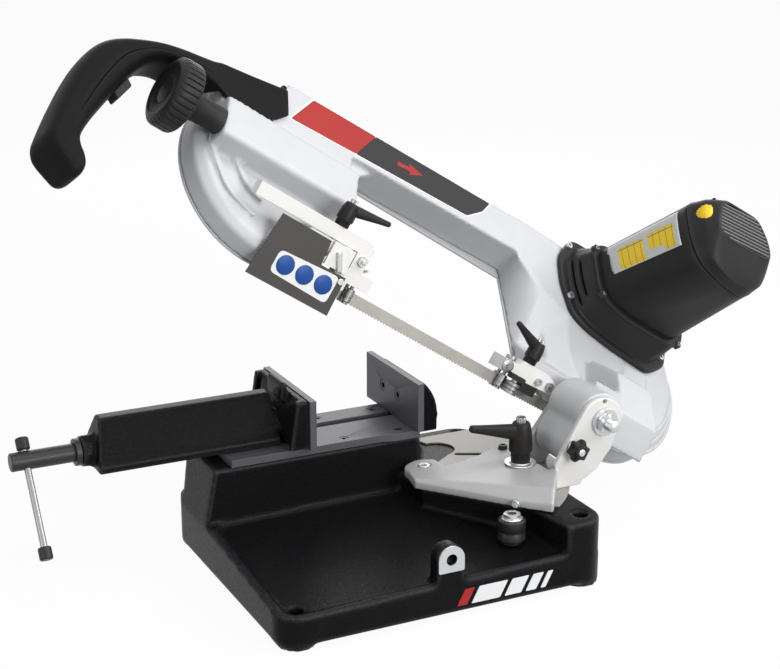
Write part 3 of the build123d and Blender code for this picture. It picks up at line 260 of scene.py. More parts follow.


# an edge colour in a look is a painted highlight laid on the piece's edges
finishes = {
    "crackle": crackleFinish("crackleBlack", {
        "cells": 780.0, "dark": (0.004, 0.004, 0.0045), "light": (0.009, 0.009, 0.010),
        "edge": (0.17, 0.17, 0.185), "edgeGain": 6.0, "rough": 0.2, "shine": 0.06, "bump": 0.5,
        "depth": 0.0006}),
    "silver": silverFinish("silverPaint", {
        "flake": 2300.0, "dark": (0.50, 0.51, 0.53), "light": (0.68, 0.69, 0.71), "edge": (0.88, 0.88, 0.89),
        "corner": (0.0016, 6.0), "metal": 0.06, "rough": 0.44, "shine": 0.3, "bump": 0.10, "depth": 0.0006}),
    "deck": silverFinish("deckPaint", {
        "flake": 2000.0, "dark": (0.38, 0.38, 0.385), "light": (0.53, 0.53, 0.53), "edge": (0.84, 0.84, 0.83),
        "ear": ((0.66, 0.655, 0.635), (0.78, 0.775, 0.755)), "earFrom": (0.1635, -0.0612),
        "edgeGain": 8.0, "metal": 0.06, "rough": 0.42, "shine": 0.3, "bump": 0.12, "depth": 0.0006}),
    "darkSteel": brushedFinish("darkMachined", {
        "stretch": (1.0, 14.0, 14.0), "lines": 90.0, "dark": (0.055, 0.056, 0.064),
        "light": (0.105, 0.106, 0.120), "metal": 0.25, "rough": 0.38, "bump": 0.06}),
    "blackSteel": brushedFinish("blackRod", {
        "stretch": (14.0, 1.0, 1.0), "lines": 160.0, "dark": (0.012, 0.012, 0.012),
        "light": (0.026, 0.025, 0.024), "metal": 0.3, "rough": 0.34, "bump": 0.05}),
    "steel": brushedFinish("turnedSteel", {
        "stretch": (1.0, 1.0, 9.0), "lines": 300.0, "dark": (0.22, 0.22, 0.225), "light": (0.40, 0.40, 0.41),
        "metal": 0.9, "rough": 0.24, "bump": 0.05}),
    "zinc": brushedFinish("zincPlate", {
        "stretch": (1.0, 1.0, 1.0), "lines": 500.0, "dark": (0.48, 0.49, 0.50), "light": (0.68, 0.69, 0.70),
        "metal": 0.8, "rough": 0.22, "bump": 0.04}),
    "scale": brushedFinish("scaleMetal", {
        "stretch": (6.0, 1.0, 1.0), "lines": 120.0, "dark": (0.29, 0.275, 0.25), "light": (0.42, 0.40, 0.37),
        "metal": 0.2, "rough": 0.4, "bump": 0.04}),
    "plastic": plasticFinish("blackPlastic", {
        "grain": 1500.0, "dark": (0.009, 0.009, 0.0095), "light": (0.020, 0.0195, 0.020),
        "edge": (0.06, 0.06, 0.06), "rough": 0.36, "shine": 0.18, "bump": 0.14}),
    "grip": plasticFinish("gripPlastic", {
        "grain": 1500.0, "dark": (0.005, 0.005, 0.005), "light": (0.011, 0.0108, 0.011),
        "edge": (0.04, 0.04, 0.04), "rough": 0.4, "shine": 0.07, "bump": 0.12}),
    # louvre bars: the motor's black plastic painted lighter, standing in for the light on their lit tops,
    # with painted edge highlights
    "louvre": plasticFinish("louvrePlastic", {
        "grain": 1500.0, "dark": (0.05, 0.05, 0.052), "light": (0.085, 0.084, 0.086),
        "edge": (0.16, 0.16, 0.16), "rough": 0.3, "shine": 0.4, "bump": 0.1}),
    "lever": plasticFinish("leverCoat", {
        "grain": 1200.0, "dark": (0.006, 0.0055, 0.005), "light": (0.016, 0.0145, 0.0135),
        "edge": (0.05, 0.048, 0.045), "rough": 0.34, "shine": 0.18, "bump": 0.14}),
    "shade": plasticFinish("deepShade", {
        "grain": 900.0, "dark": (0.002, 0.002, 0.002), "light": (0.005, 0.005, 0.005),
        "rough": 0.7, "shine": 0.05, "bump": 0.05}),
    "yellow": plasticFinish("yellowPlastic", {
        "grain": 900.0, "dark": (0.78, 0.50, 0.015), "light": (0.90, 0.64, 0.02),
        "rough": 0.3, "shine": 0.4, "bump": 0.05}),
    "guard": plasticFinish("guardPaint", {
        "grain": 1700.0, "dark": (0.052, 0.048, 0.046), "light": (0.082, 0.076, 0.073),
        "rough": 0.44, "shine": 0.25, "bump": 0.1}),
    "cream": plasticFinish("creamPaint", {
        "grain": 1400.0, "dark": (0.76, 0.75, 0.72), "light": (0.88, 0.875, 0.85),
        "rough": 0.42, "shine": 0.3, "bump": 0.06}),
    "rubber": plasticFinish("glossRubber", {
        "grain": 900.0, "dark": (0.006, 0.006, 0.006), "light": (0.014, 0.014, 0.014),
        "edge": (0.06, 0.06, 0.06), "rough": 0.3, "shine": 0.35, "bump": 0.06}),
    "red": plasticFinish("redFilm", {
        "grain": 1600.0, "dark": (0.32, 0.014, 0.012), "light": (0.42, 0.022, 0.018),
        "rough": 0.34, "shine": 0.3, "bump": 0.04}),
    "blackFilm": plasticFinish("blackFilm", {
        "grain": 1600.0, "dark": (0.008, 0.008, 0.009), "light": (0.015, 0.015, 0.016),
        "rough": 0.3, "shine": 0.3, "bump": 0.04}),
    "white": plasticFinish("whiteFilm", {
        "grain": 1600.0, "dark": (0.78, 0.79, 0.80), "light": (0.86, 0.87, 0.88),
        "rough": 0.36, "shine": 0.3, "bump": 0.03}),
    "blue": plasticFinish("blueFilm", {
        "grain": 1600.0, "dark": (0.008, 0.060, 0.26), "light": (0.012, 0.080, 0.32),
        "rough": 0.34, "shine": 0.3, "bump": 0.03}),
    "table": tableFinish("tablePlate", {
        "dark": (0.50, 0.51, 0.52), "light": (0.62, 0.63, 0.64), "field": (0.86, 0.60, 0.015),
        "line": (0.10, 0.09, 0.05)}),
    "blade": brushedFinish("groundBlade", {
        "stretch": (1.0, 1.0, 1.0), "lines": 260.0, "dark": (0.33, 0.315, 0.285), "light": (0.48, 0.46, 0.42),
        "metal": 0.45, "rough": 0.34, "bump": 0.03}),
    "winding": brushedFinish("copperWinding", {
        "stretch": (1.0, 1.0, 1.0), "lines": 700.0, "dark": (0.25, 0.10, 0.04), "light": (0.45, 0.2, 0.09),
        "metal": 0.8, "rough": 0.35, "bump": 0.2}),
}
print("finishes made:", len(finishes))

nodeFinish = {
    "steel": ["tommy_bar", "cover_hinge_pins", "drive_shaft", "drive_gear", "middle_gear", "idler_axle",
              "tension_screw", "drive_bearings", "idler_bearings", "vise_nut", "guide_studs"],
    "silver": ["bearing_carrier", "idler_wheel", "drive_wheel", "tension_slider"],
    "winding": ["motor_rotor", "motor_stator"],
}
for finishName, members in nodeFinish.items():
    for member in members:
        for place in nodes[member].material_slots:
            place.material = finishes[finishName]
print("inner nodes dressed")


def addPiece(name, mesh, finish, body, stands=()):  # link, finish and ride; stands are the nodes it replaces
    mesh.materials.clear()
    mesh.materials.append(finishes[finish])
    piece = bpy.data.objects.new(name, mesh)
    bpy.context.scene.collection.objects.link(piece)
    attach(piece, body)
    if stands:
        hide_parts(*stands)
    return piece


def smoothMesh(mesh, crease):
    mesh.polygons.foreach_set("use_smooth", np.ones(len(mesh.polygons), bool))
    mesh.set_sharp_from_angle(angle=math.radians(crease))
    mesh.update()


def nodeCopy(node):  # a node's mesh with its loose triangles merged
    shape = nodes[node].data.copy()
    work = bmesh.new()
    work.from_mesh(shape)
    bmesh.ops.remove_doubles(work, verts=work.verts, dist=2e-6)
    bmesh.ops.dissolve_limit(work, angle_limit=0.01, verts=work.verts, edges=work.edges)
    work.to_mesh(shape)
    work.free()
    return shape


def setBack(cast, spots, look):
    # points inside the idler hollow that face its axis or its open side go back along their normals by the
    # depth: the re-cast rounds the hollow's corners inwards, where the slack wheel would meet them
    byReach, byFront, byBack = look["ramps"]
    outward = np.zeros(spots.size, np.float32)
    cast.vertices.foreach_get("normal", outward)
    outward = outward.reshape(-1, 3).astype(float)
    local = spots / mm - bowOrigin
    along, across, rise = local @ uAxis - idlerU, local @ wAxis, local @ mAxis
    reach = np.hypot(along, across)
    radial = ((outward @ uAxis) * along + (outward @ wAxis) * across) / np.maximum(reach, 1e-6)
    share = np.clip(-radial - outward @ mAxis, 0, 1) * np.clip((look["reach"] - reach) / byReach, 0, 1)
    share *= np.clip((look["front"] - rise) / byFront, 0, 1) * np.clip((rise - look["back"]) / byBack, 0, 1)
    spots = spots - outward * (share * look["depth"] * mm)[:, None]
    cast.vertices.foreach_set("co", spots.astype(np.float32).ravel())
    cast.update()


def castCopy(name, node, look, finish):  # a node's shape re-cast soft: voxels, then neighbour averaging
    carrier = bpy.data.objects.new(name + "Cast", nodeCopy(node))
    bpy.context.scene.collection.objects.link(carrier)
    remesh = carrier.modifiers.new("cast", "REMESH")
    remesh.mode, remesh.voxel_size = "VOXEL", look["voxel"] * mm
    ready = bpy.context.evaluated_depsgraph_get()
    cast = bpy.data.meshes.new_from_object(carrier.evaluated_get(ready))
    bpy.data.objects.remove(carrier)
    count = len(cast.vertices)
    spots = np.zeros(count * 3, np.float32)
    cast.vertices.foreach_get("co", spots)
    spots = spots.reshape(-1, 3).astype(float)
    ends = np.zeros(len(cast.edges) * 2, np.int32)
    cast.edges.foreach_get("vertices", ends)
    a, b = ends.reshape(-1, 2).T
    share = np.maximum(np.bincount(a, minlength=count) + np.bincount(b, minlength=count), 1)
    for _ in range(look["rounds"]):  # each point goes half way to the mean of its neighbours
        mean = np.stack([
            np.bincount(a, spots[b, k], count) + np.bincount(b, spots[a, k], count) for k in range(3)
        ], -1) / share[:, None]
        spots += 0.5 * (mean - spots)
    cast.vertices.foreach_set("co", spots.astype(np.float32).ravel())
    smoothMesh(cast, 180)
    if "hollow" in look:
        setBack(cast, spots, look["hollow"])
    print("cast:", name, len(cast.polygons), "faces")
    return addPiece(name, cast, finish, nodeBody[node], [node])


hollowLook = {"reach": 94.5, "front": 9.0, "back": -17.0, "depth": 1.5, "ramps": (1.5, 4.0, 2.0)}
castLook = [
    ("baseCasting", "base_casting", {"voxel": 2.4, "rounds": 4}, "crackle"),
    ("bowCasting", "bow_frame", {"voxel": 2.45, "rounds": 1, "hollow": hollowLook}, "silver"),
    ("movingJawCasting", "movable_jaw_body", {"voxel": 1.6, "rounds": 5}, "crackle"),
    ("fixedJawCasting", "fixed_jaw_support", {"voxel": 1.6, "rounds": 5}, "crackle"),
    ("swivelCasting", "swivel_arm", {"voxel": 1.4, "rounds": 4}, "deck"),
]
for name, node, look, finish in castLook:
    castCopy(name, node, look, finish)


def bevelCopy(name, node, width, finish):  # a machined piece: the node's own shape with its corners broken
    shape = nodeCopy(node)
    smoothMesh(shape, 30)
    piece = addPiece(name, shape, finish, nodeBody[node], [node])
    bevel = piece.modifiers.new("brokenEdge", "BEVEL")
    bevel.width, bevel.segments, bevel.limit_method = width * mm, 2, "ANGLE"
    bevel.angle_limit, bevel.harden_normals = math.radians(32), True
    return piece


bevelLook = [
    ("railPlates", "guide_rails", 0.9, "darkSteel"), ("fixedJawFace", "fixed_jaw_plate", 0.8, "darkSteel"),
    ("movingJawFace", "movable_jaw_plate", 0.8, "darkSteel"),
    ("movingJawScrews", "movable_jaw_screws", 0.4, "blackSteel"),
    ("viseScrew", "vise_screw", 0.6, "blackSteel"), ("screwCollars", "screw_collars", 0.8, "blackSteel"),
    ("tommyCaps", "tommy_bar_caps", 0.3, "rubber"), ("scalePlate", "scale_plate", 0.4, "scale"),
    ("pivotBolt", "mitre_pivot_bolt", 0.7, "zinc"), ("baseScrews", "base_screws", 0.4, "blackSteel"),
    ("wheelCover", "wheel_cover", 1.0, "silver"), ("gripTrigger", "trigger", 1.6, "plastic"),
    ("guideBar", "left_guide_bar", 0.7, "cream"), ("guideBlock", "right_guide_block", 0.7, "cream"),
    ("bandGuard", "blade_guard", 0.5, "guard"), ("guardScrew", "guard_screw", 0.6, "zinc"),
    ("bowScrews", "bow_screws", 0.5, "zinc"), ("leftRollerPins", "left_roller_pins", 0.4, "steel"),
    ("rightRollerPins", "right_roller_pins", 0.4, "steel"),
]
for name, node, width, finish in bevelLook:
    bevelCopy(name, node, width, finish)
print("machined pieces:", len(bevelLook))


def surfaceMesh(name, solids, rings=(), crease=38.0):
    # rows of closed loops become quads between neighbouring rows; a solid's end rows are closed by one face
    # each, a ring's last row lies on its first and is merged with it
    spots, faces, start = [], [], 0
    for grid, capped in [(g, True) for g in solids] + [(g, False) for g in rings]:
        rows, columns = grid.shape[:2]
        index = start + np.arange(rows * columns).reshape(rows, columns)
        turned = np.roll(index, -1, 1)
        faces += np.stack([index[:-1], turned[:-1], turned[1:], index[1:]], -1).reshape(-1, 4).tolist()
        if capped:
            faces += [index[0, ::-1].tolist(), index[-1].tolist()]
        spots.append(grid.reshape(-1, 3))
        start += rows * columns
    mesh = bpy.data.meshes.new(name)
    mesh.from_pydata(np.concatenate(spots).tolist(), [], faces)
    work = bmesh.new()
    work.from_mesh(mesh)
    bmesh.ops.remove_doubles(work, verts=work.verts, dist=3e-6)
    bmesh.ops.recalc_face_normals(work, faces=work.faces)
    work.to_mesh(mesh)
    work.free()
    smoothMesh(mesh, crease)
    return mesh


def addSurface(name, solids, finish, body, stands=(), rings=(), crease=38.0):
    return addPiece(name, surfaceMesh(name, solids, rings, crease), finish, body, stands)


def spun(profile, centre, axis, side, count=40, ripple=None):
    # (radius, height) rows round an axis: centre + height * axis + radius * (cos * side + sin * other)
    radius, height = np.asarray(profile, float).T
    axis = axis / np.linalg.norm(axis)
    side = side - axis * (side @ axis)
    side = side / np.linalg.norm(side)
    turn = turns(count)
    ring = np.cos(turn)[:, None] * side + np.sin(turn)[:, None] * np.cross(axis, side)
    reach = np.repeat(radius[:, None], count, 1)
    if ripple is not None:
        reach = reach + ripple(height[:, None], turn[None, :])
    return centre + (reach[..., None] * ring + height[:, None, None] * axis) * mm


def hexNut(centre, axis, side, flats, height, chamfer=0.7):
    # a hexagon's radius by angle is flats / cos(angle from the middle of a flat), cut by a cone at both ends
    turn = turns(72)
    hexagon = flats / np.cos((turn + np.pi / 6) % (np.pi / 3) - np.pi / 6)
    limits = np.array([flats * 1.0, flats * 1.16, flats * 1.16, flats * 1.0, 0.0])
    heights = np.array([0.0, chamfer, height - chamfer, height, height])
    grid = spun(np.stack([np.ones(5), heights], -1), centre, axis, side, 72)
    middle = centre + (heights[:, None, None] * (axis / np.linalg.norm(axis))) * mm
    return middle + (grid - middle) * np.minimum(hexagon[None, :], limits[:, None])[..., None]


def softOutline(corners, radius, curve=6, run=1):
    # each corner is a quadratic curve between points a short way along its two sides
    # each side has run - 1 points more
    corners = np.asarray(corners, float)
    before, after = np.roll(corners, 1, 0), np.roll(corners, -1, 0)
    reachIn = np.minimum(0.47, radius / np.linalg.norm(before - corners, axis=1))[:, None]
    reachOut = np.minimum(0.47, radius / np.linalg.norm(after - corners, axis=1))[:, None]
    start, end = corners + (before - corners) * reachIn, corners + (after - corners) * reachOut
    t = np.linspace(0, 1, curve)[None, :, None]
    bends = (1 - t) ** 2 * start[:, None] + 2 * t * (1 - t) * corners[:, None] + t ** 2 * end[:, None]
    s = (np.arange(1, run) / run)[None, :, None]
    sides = end[:, None] * (1 - s) + np.roll(start, -1, 0)[:, None] * s
    return np.concatenate([bends, sides], 1).reshape(-1, 2)


def eased(rows, steps):
    # a smooth line through the rows: cubics whose slope at a row is half the step between its neighbours
    rows = np.asarray(rows, float)
    padded = np.concatenate([2 * rows[:1] - rows[1:2], rows, 2 * rows[-1:] - rows[-2:-1]])
    place = np.linspace(0, len(rows) - 1, steps)
    k = np.minimum(place.astype(int), len(rows) - 2)
    f = (place - k)[:, None]
    a, b, c, d = (padded[k + j] for j in range(4))
    square, cube = 2 * a - 5 * b + 4 * c - d, 3 * b - a - 3 * c + d
    return 0.5 * (2 * b + (c - a) * f + square * f ** 2 + cube * f ** 3)


def swept(centre, wide, deep, power, turn, keep=1.0):
    # superellipse on a path: centre + wide * |cos|^(2/p) + deep * |sin|^(2/p), signs kept, scaled by keep
    c, s = np.cos(turn), np.sin(turn)
    p = 2 / np.broadcast_to(power, len(centre))[:, None]
    a, b = np.sign(c) * np.abs(c) ** p * keep, np.sign(s) * np.abs(s) ** p * keep
    return centre[:, None] + a[..., None] * wide[:, None] + b[..., None] * deep[:, None]


def thinPlate(outline, place, back, front, inset=0.25):
    # an outline carried from back to front, drawn in at the front; place turns (a, b, depth) into metres
    outline = np.asarray(outline, float)
    middle = outline.mean(0)
    drawn = middle + (outline - middle) * (1 - inset / np.abs(outline - middle).max())
    depths = [(outline, back), (outline, front + (back - front) * 0.35), (drawn, front)]
    return np.stack([place(edge[:, 0], edge[:, 1], depth) for edge, depth in depths])


def onCut(u, n, y):  # a plate's outline in the cut's plane
    return cutPoint(u, y, n)


def onFront(x, z, y):  # a plate's outline on the base's front
    return basePoint(x, y, z)


# motor: gearbox collar, body and end cap are one outline that changes along m

motorLook = {
    "centre": (250.0, 72.0), "corner": 11.0,
    "flange": [
        (160, 92), (165, 58), (182, 24), (206, 14), (246, 8), (308, 4), (334, 24), (340, 70), (318, 130),
        (176, 124)],
    "gearbox": [
        (184, 98), (187, 78), (194, 47), (208, 35), (240, 29), (316, 30), (328, 42), (330, 78), (312, 124),
        (196, 110)],
    "body": [
        (189, 96), (191, 76), (198, 49), (210, 38), (240, 33), (308, 34), (318, 44), (320, 76), (304, 122),
        (199, 106)],
    "seam": [
        (190, 92), (192, 66), (200, 38), (213, 24), (242, 15), (276, 14), (296, 32), (304, 70), (288, 122),
        (200, 104)],
    "cap": [
        (196, 94), (197, 66), (204, 38), (216, 24), (242, 15), (278, 18), (297, 36), (302, 70), (286, 119),
        (206, 104)],
    "end": [
        (210, 92), (206, 70), (206, 56), (214, 50), (236, 49), (280, 54), (294, 60), (292, 82), (276, 106),
        (220, 102)],
    "collarFrom": 32.3, "collarRun": 26.0, "collarFoot": 0.88, "bodyFrom": 64.5, "bodyRun": 121.5,
    "vents": [(36.2, 1.7, 38, 92), (44.0, 2.0, 47, 88)], "ventDepth": 4.0, "ventEdge": 205.0,
    "louvres": 10, "louvreTilt": 9.0,
}
motorCentre = np.array(motorLook["centre"])


def motorEdge(name, share=1.0):  # an outline with soft corners, scaled about the motor's middle
    edge = softOutline(motorLook[name], motorLook["corner"], 6, 14)
    return motorCentre + (edge - motorCentre) * share


def motorRows(stations):  # stations are (m, outline): one row of points for each
    return np.stack([bowPoint(edge[:, 0], edge[:, 1], m) for m, edge in stations])


def motorPart(name, stations):  # stations of one outline, each a height and a scale
    return [(m, motorEdge(name, share)) for m, share in stations]


def between(first, second, share):  # a straight mix of two outlines
    return motorEdge(first) * (1 - share) + motorEdge(second) * share


def collarEdge(m):  # the collar narrows evenly from the flange to the gearbox
    share = (m - motorLook["collarFrom"]) / motorLook["collarRun"]
    return motorEdge("flange", motorLook["collarFoot"]) * (1 - share) + motorEdge("gearbox") * share


def slotted(edge, m):  # two long vents pressed into the left side of the collar
    u, w = edge.T
    vents = [np.exp(-((m - at) / half) ** 8) * (w > low) * (w < high)
             for at, half, low, high in motorLook["vents"]]
    return np.stack([u + motorLook["ventDepth"] * sum(vents) * (u < motorLook["ventEdge"]), w], -1)


gearbox = motorPart("flange", [(25.3, 0.985), (26.6, 1.0), (31.0, 1.0), (32.3, 0.982), (32.3, 0.89)])
gearbox += [(m, slotted(collarEdge(m), m)) for m in np.linspace(33.2, 57.5, 60)]
gearbox += motorPart("gearbox", [(58.3, 1.0), (58.9, 1.022), (62.2, 1.026), (63.4, 1.012), (63.6, 0.97)])
addSurface("gearboxShell", [motorRows(gearbox)], "plastic", "bow", ["gearbox_housing"], crease=32)

body = motorPart("body", [(61.3, 0.98), (64.5, 1.0)])
for t in np.linspace(0.05, 0.98, 14):
    body.append((motorLook["bodyFrom"] + motorLook["bodyRun"] * t, between("body", "seam", t)))
body += motorPart("seam", [(188.2, 1.0), (189.4, 0.992), (190.0, 0.972)])
addSurface("motorShell", [motorRows(body)], "plastic", "bow", ["motor_housing"], crease=32)

cap = motorPart("seam", [(190.4, 0.972), (190.9, 0.992), (192.4, 1.004)])
cap += [(192.4 + 12.2 * t, between("seam", "cap", t)) for t in (0.3, 0.6, 0.94)]
cap += motorPart("cap", [(205.0, 1.0)])
cap += [(205.0 + 16.2 * t, between("cap", "end", t ** 1.25)) for t in np.linspace(0.05, 1.0, 9)]
cap += motorPart("end", [(222.0, 0.965), (222.0, 0.90), (217.0, 0.885)])
addSurface("motorCap", [motorRows(cap)], "plastic", "bow", ["motor_end_cap"], crease=24)


def louvreBars():  # parallel bars over the end pocket, each cut to the pocket's straight sides
    corners = motorCentre + (np.array(motorLook["end"], float) - motorCentre) * 0.9
    sides = np.roll(corners, -1, 0) - corners
    tilt = math.radians(motorLook["louvreTilt"])
    run, step = np.array([math.cos(tilt), math.sin(tilt)]), np.array([-math.sin(tilt), math.cos(tilt)])
    low, high = (corners @ step).min(), (corners @ step).max()
    bars = []
    for level in np.linspace(low, high, motorLook["louvres"] + 2)[1:-1]:
        start = step * level
        across = sides[:, 0] * run[1] - sides[:, 1] * run[0]
        away = sides[:, 0] * (start - corners)[:, 1] - sides[:, 1] * (start - corners)[:, 0]
        turn = np.sign(np.cross(sides[0], sides[1]))
        meet = -away / across
        first, last = meet[across * turn > 0].max(), meet[across * turn < 0].min()
        ends = start + np.outer([first, last], run)
        path = bowPoint(*ends.T, 220.2)
        wide = np.repeat([step[0] * uAxis + step[1] * wAxis], 2, 0) * 1.25 * mm
        deep = np.repeat([mAxis], 2, 0) * 2.0 * mm
        bars.append(swept(path, wide, deep, 4.0, turns(12)))
    return bars


addSurface("motorLouvres", louvreBars(), "louvre", "bow")
# a near-black plate behind the bars: painted shade in the pocket
addSurface("louvrePocket", [thinPlate(motorEdge("end", 0.89), bowPoint, 216.0, 217.4)], "shade", "bow")


def socketScrew(centre, axis, side, radius, height, depth=1.6):  # a round head with a hexagon-like well
    profile = [
        (radius * 0.9, 0), (radius, 0.3), (radius, height - 0.5), (radius * 0.88, height),
        (radius * 0.55, height), (radius * 0.48, height - depth), (0.0, height - depth),
    ]
    return spun(profile, centre, axis, side, 24)


lipScrews = [(186, 100), (198, 43), (322, 36)]
bossShape = [(4.4, 0), (4.4, 5.4), (3.8, 6.0), (0, 6.0)]
bosses = [spun(bossShape, bowPoint(u, w, 58.6), mAxis, uAxis, 24) for u, w in lipScrews]
addSurface("lipBosses", bosses, "plastic", "bow")
heads = [socketScrew(bowPoint(u, w, 63.6), mAxis, uAxis, 2.4, 2.2) for u, w in lipScrews]
addSurface("lipScrews", heads, "steel", "bow")
capScrews = [(213.0, 102.0, 206.6), (217.0, 54.0, 210.0)]
# near-black plugs in the cap's screw wells: painted shade
capWells = [spun([(2.9, 0), (2.9, 6), (0, 6)], bowPoint(*at), mAxis, uAxis, 20) for at in capScrews]
addSurface("capScrewWells", capWells, "shade", "bow")

dialLook = {"at": (208.0, 80.0), "foot": 196.0, "teeth": 30}
dialProfile = [(12.6, 0), (13.2, 0.6), (13.4, 10.6), (12.4, 14.6), (9.6, 18.4), (6.0, 20.0), (0.0, 20.2)]


def dialTeeth(height, turn):  # thumb notches round the rim, fading towards the flat top
    return 0.4 * np.cos(turn * dialLook["teeth"]) * np.exp(-((height - 8) / 11) ** 4)


dial = spun(dialProfile, bowPoint(*dialLook["at"], dialLook["foot"]), mAxis, uAxis, 108, dialTeeth)
addSurface("speedDial", [dial], "yellow", nodeBody["speed_dial"], ["speed_dial"])

tableLook = {"from": 2.0, "to": 36.0, "near": 76.0, "far": 178.0, "slant": 6.0, "lift": 0.35}


def sideSheet():  # a sheet on the motor's left side: rows along m, columns follow the body's outline points
    first, last = motorEdge("body"), motorEdge("seam")
    column, t = np.meshgrid(np.linspace(tableLook["from"], tableLook["to"], 60), np.linspace(0, 1, 40))
    s = (column - tableLook["from"]) / (tableLook["to"] - tableLook["from"])
    m = tableLook["near"] + (tableLook["far"] - tableLook["near"]) * t + tableLook["slant"] * s * (1 - t)
    share = (m - motorLook["bodyFrom"]) / motorLook["bodyRun"]
    number = np.arange(len(first))
    near = [np.interp(column, number, first[:, k]) for k in (0, 1)]
    far = [np.interp(column, number, last[:, k]) for k in (0, 1)]
    u, w = (a * (1 - share) + b * share for a, b in zip(near, far))
    return bowPoint(u - tableLook["lift"], w - tableLook["lift"] * 0.4, m), s, t


def sheetPiece(name, grid, s, t, finish, body, thick):  # an open grid mapped by its two numbers, made thick
    rows, columns = grid.shape[:2]
    index = np.arange(rows * columns).reshape(rows, columns)
    faces = np.stack([index[:-1, :-1], index[:-1, 1:], index[1:, 1:], index[1:, :-1]], -1).reshape(-1, 4)
    mesh = bpy.data.meshes.new(name)
    mesh.from_pydata(grid.reshape(-1, 3).tolist(), [], faces.tolist())
    layer = mesh.uv_layers.new(name="sheet")
    flat = np.stack([s.ravel(), t.ravel()], -1)[faces.ravel()]
    layer.data.foreach_set("uv", flat.astype(np.float32).ravel())
    smoothMesh(mesh, 40)
    piece = addPiece(name, mesh, finish, body)
    wall = piece.modifiers.new("thickness", "SOLIDIFY")
    wall.thickness, wall.offset = thick * mm, 0.0
    return piece


sheetPiece("motorTable", *sideSheet(), "table", "bow", 0.5)
vents = []
for at, half, low, high in motorLook["vents"]:  # painted shade: near-black strips laid in the collar vents
    edge = collarEdge(at)
    left = edge[(edge[:, 0] < motorLook["ventEdge"]) & (edge[:, 1] < 100)]
    order = np.argsort(left[:, 1])
    w = np.linspace(low + 1.5, high - 1.5, 24)
    u = np.interp(w, left[order, 1], left[order, 0]) + motorLook["ventDepth"] - 0.6
    wide, deep = np.ones((24, 1)) * mAxis * (half - 0.3) * mm, np.ones((24, 1)) * uAxis * 0.7 * mm
    vents.append(swept(bowPoint(u, w, at), wide, deep, 6.0, turns(12)))
addSurface("collarVents", vents, "shade", "bow")
print("motor done")

# handle: one grip of changing section along the bent bar, flat cover plate at its right end

handleLook = {
    # outer edge (u, w), inner edge (u, w), front m, back m, squareness of the section
    "stations": [
        (-232, 87, -227, 57, 30.4, 25.6, 9), (-248, 83.8, -245, 41, 30.4, 25.6, 9),
        (-275, 78, -271, 37, 30.4, 25.6, 9), (-300, 73, -296, 34, 30.8, 25.6, 8),
        (-312, 70.3, -308, 38, 31.6, 25.6, 6), (-322, 68, -317, 40.5, 32.6, 4, 4.6),
        (-340, 63.5, -331, 41.5, 34, -9, 4), (-360, 58.5, -348, 40, 35, -12, 3.5),
        (-382, 51, -366, 37.5, 35.6, -12, 3.1), (-404, 41, -383, 27, 36, -12, 2.9),
        (-426, 29, -394, 12, 36, -12, 2.7), (-441, 14, -403, -5, 36, -12, 2.6),
        (-452, -10, -411, -24, 36, -12, 2.5), (-460, -38, -420, -46, 36, -12, 2.5),
        (-466, -70, -430, -72, 36, -12, 2.6), (-469.4, -95, -436.5, -93, 36, -12, 2.8),
        (-470.6, -107, -438, -105, 36, -12, 3.0), (-471, -114, -435, -114.5, 36, -12, 3.3),
        (-470.4, -118.5, -430, -121.5, 35.6, -11.6, 3.6), (-469, -122, -427.6, -129, 35, -11, 3.9),
        (-467.2, -124.6, -429, -136.5, 34.2, -10.2, 4.2), (-465, -126.8, -432.5, -141.5, 32.6, -8.6, 4.3),
        (-462, -129.6, -436.5, -144, 30, -6, 4.3), (-459.5, -131.6, -439, -144.4, 27.5, -3.5, 4.3),
    ],
    "steps": 150, "grooveAt": (94.0, 96.0, 98.0), "grooveDepth": 0.045, "seamDepth": 0.02, "run": (4.5, 14.6),
}


def handleGrip():  # a superellipse between the edges, the front and the back, with a groove along its front
    rows = np.array(handleLook["stations"], float)
    smooth = eased(rows[:, :4], handleLook["steps"])
    place = np.linspace(0, len(rows) - 1, handleLook["steps"])
    front, back, power = (np.interp(place, np.arange(len(rows)), rows[:, k]) for k in (4, 5, 6))
    outer, inner = smooth[:, :2], smooth[:, 2:]
    centre = bowPoint(*((outer + inner) / 2).T, (front + back) / 2)
    half = (outer - inner) / 2 * mm
    wide = half[:, :1] * uAxis + half[:, 1:] * wAxis
    deep = ((front - back) / 2 * mm)[:, None] * mAxis
    angles = np.unique(np.concatenate([np.linspace(0, 360, 57)[:-1], handleLook["grooveAt"], [1.5, 358.5]]))
    turn = np.radians(angles)
    groove = np.isclose(angles, handleLook["grooveAt"][1]) * handleLook["grooveDepth"]
    seam = np.isclose(angles, 0.0) * handleLook["seamDepth"]
    first, last = handleLook["run"]
    run = np.clip(place - first, 0, 1) * np.clip(last - place, 0, 1)
    keep = 1 - run[:, None] * (groove + seam)[None, :]
    return swept(centre, wide, deep, power, turn, keep)


addSurface("handleGrip", [handleGrip()], "grip", "bow", ["handle_front", "handle_rear"], crease=46)
plateClips = [(-236.0, 88.0), (-288.0, 34.5), (-246.5, 40.0)]
clips = [socketScrew(bowPoint(u, w, 25.4), mAxis, uAxis, 3.2, 4.6) for u, w in plateClips]
addSurface("plateClips", clips, "blackSteel", "bow")

knobLook = {"ribs": 34, "ribDepth": 1.5, "groove": 0.13}
knobProfile = [
    (13.6, 303.8), (13.4, 316), (14.0, 330), (15.6, 340), (19, 343.6), (30, 344.4), (33.6, 345),
    (35.2, 346.4), (36.0, 349), (36.0, 362.5), (35.2, 365.2), (33.2, 367.0), (30.5, 368.6), (28, 369.6),
    (26.6, 369.4), (25.8, 368.2), (25, 367.9), (15.5, 367.2), (14.8, 366.4), (14.0, 367.2), (6, 367.6),
    (0, 367.6),
]


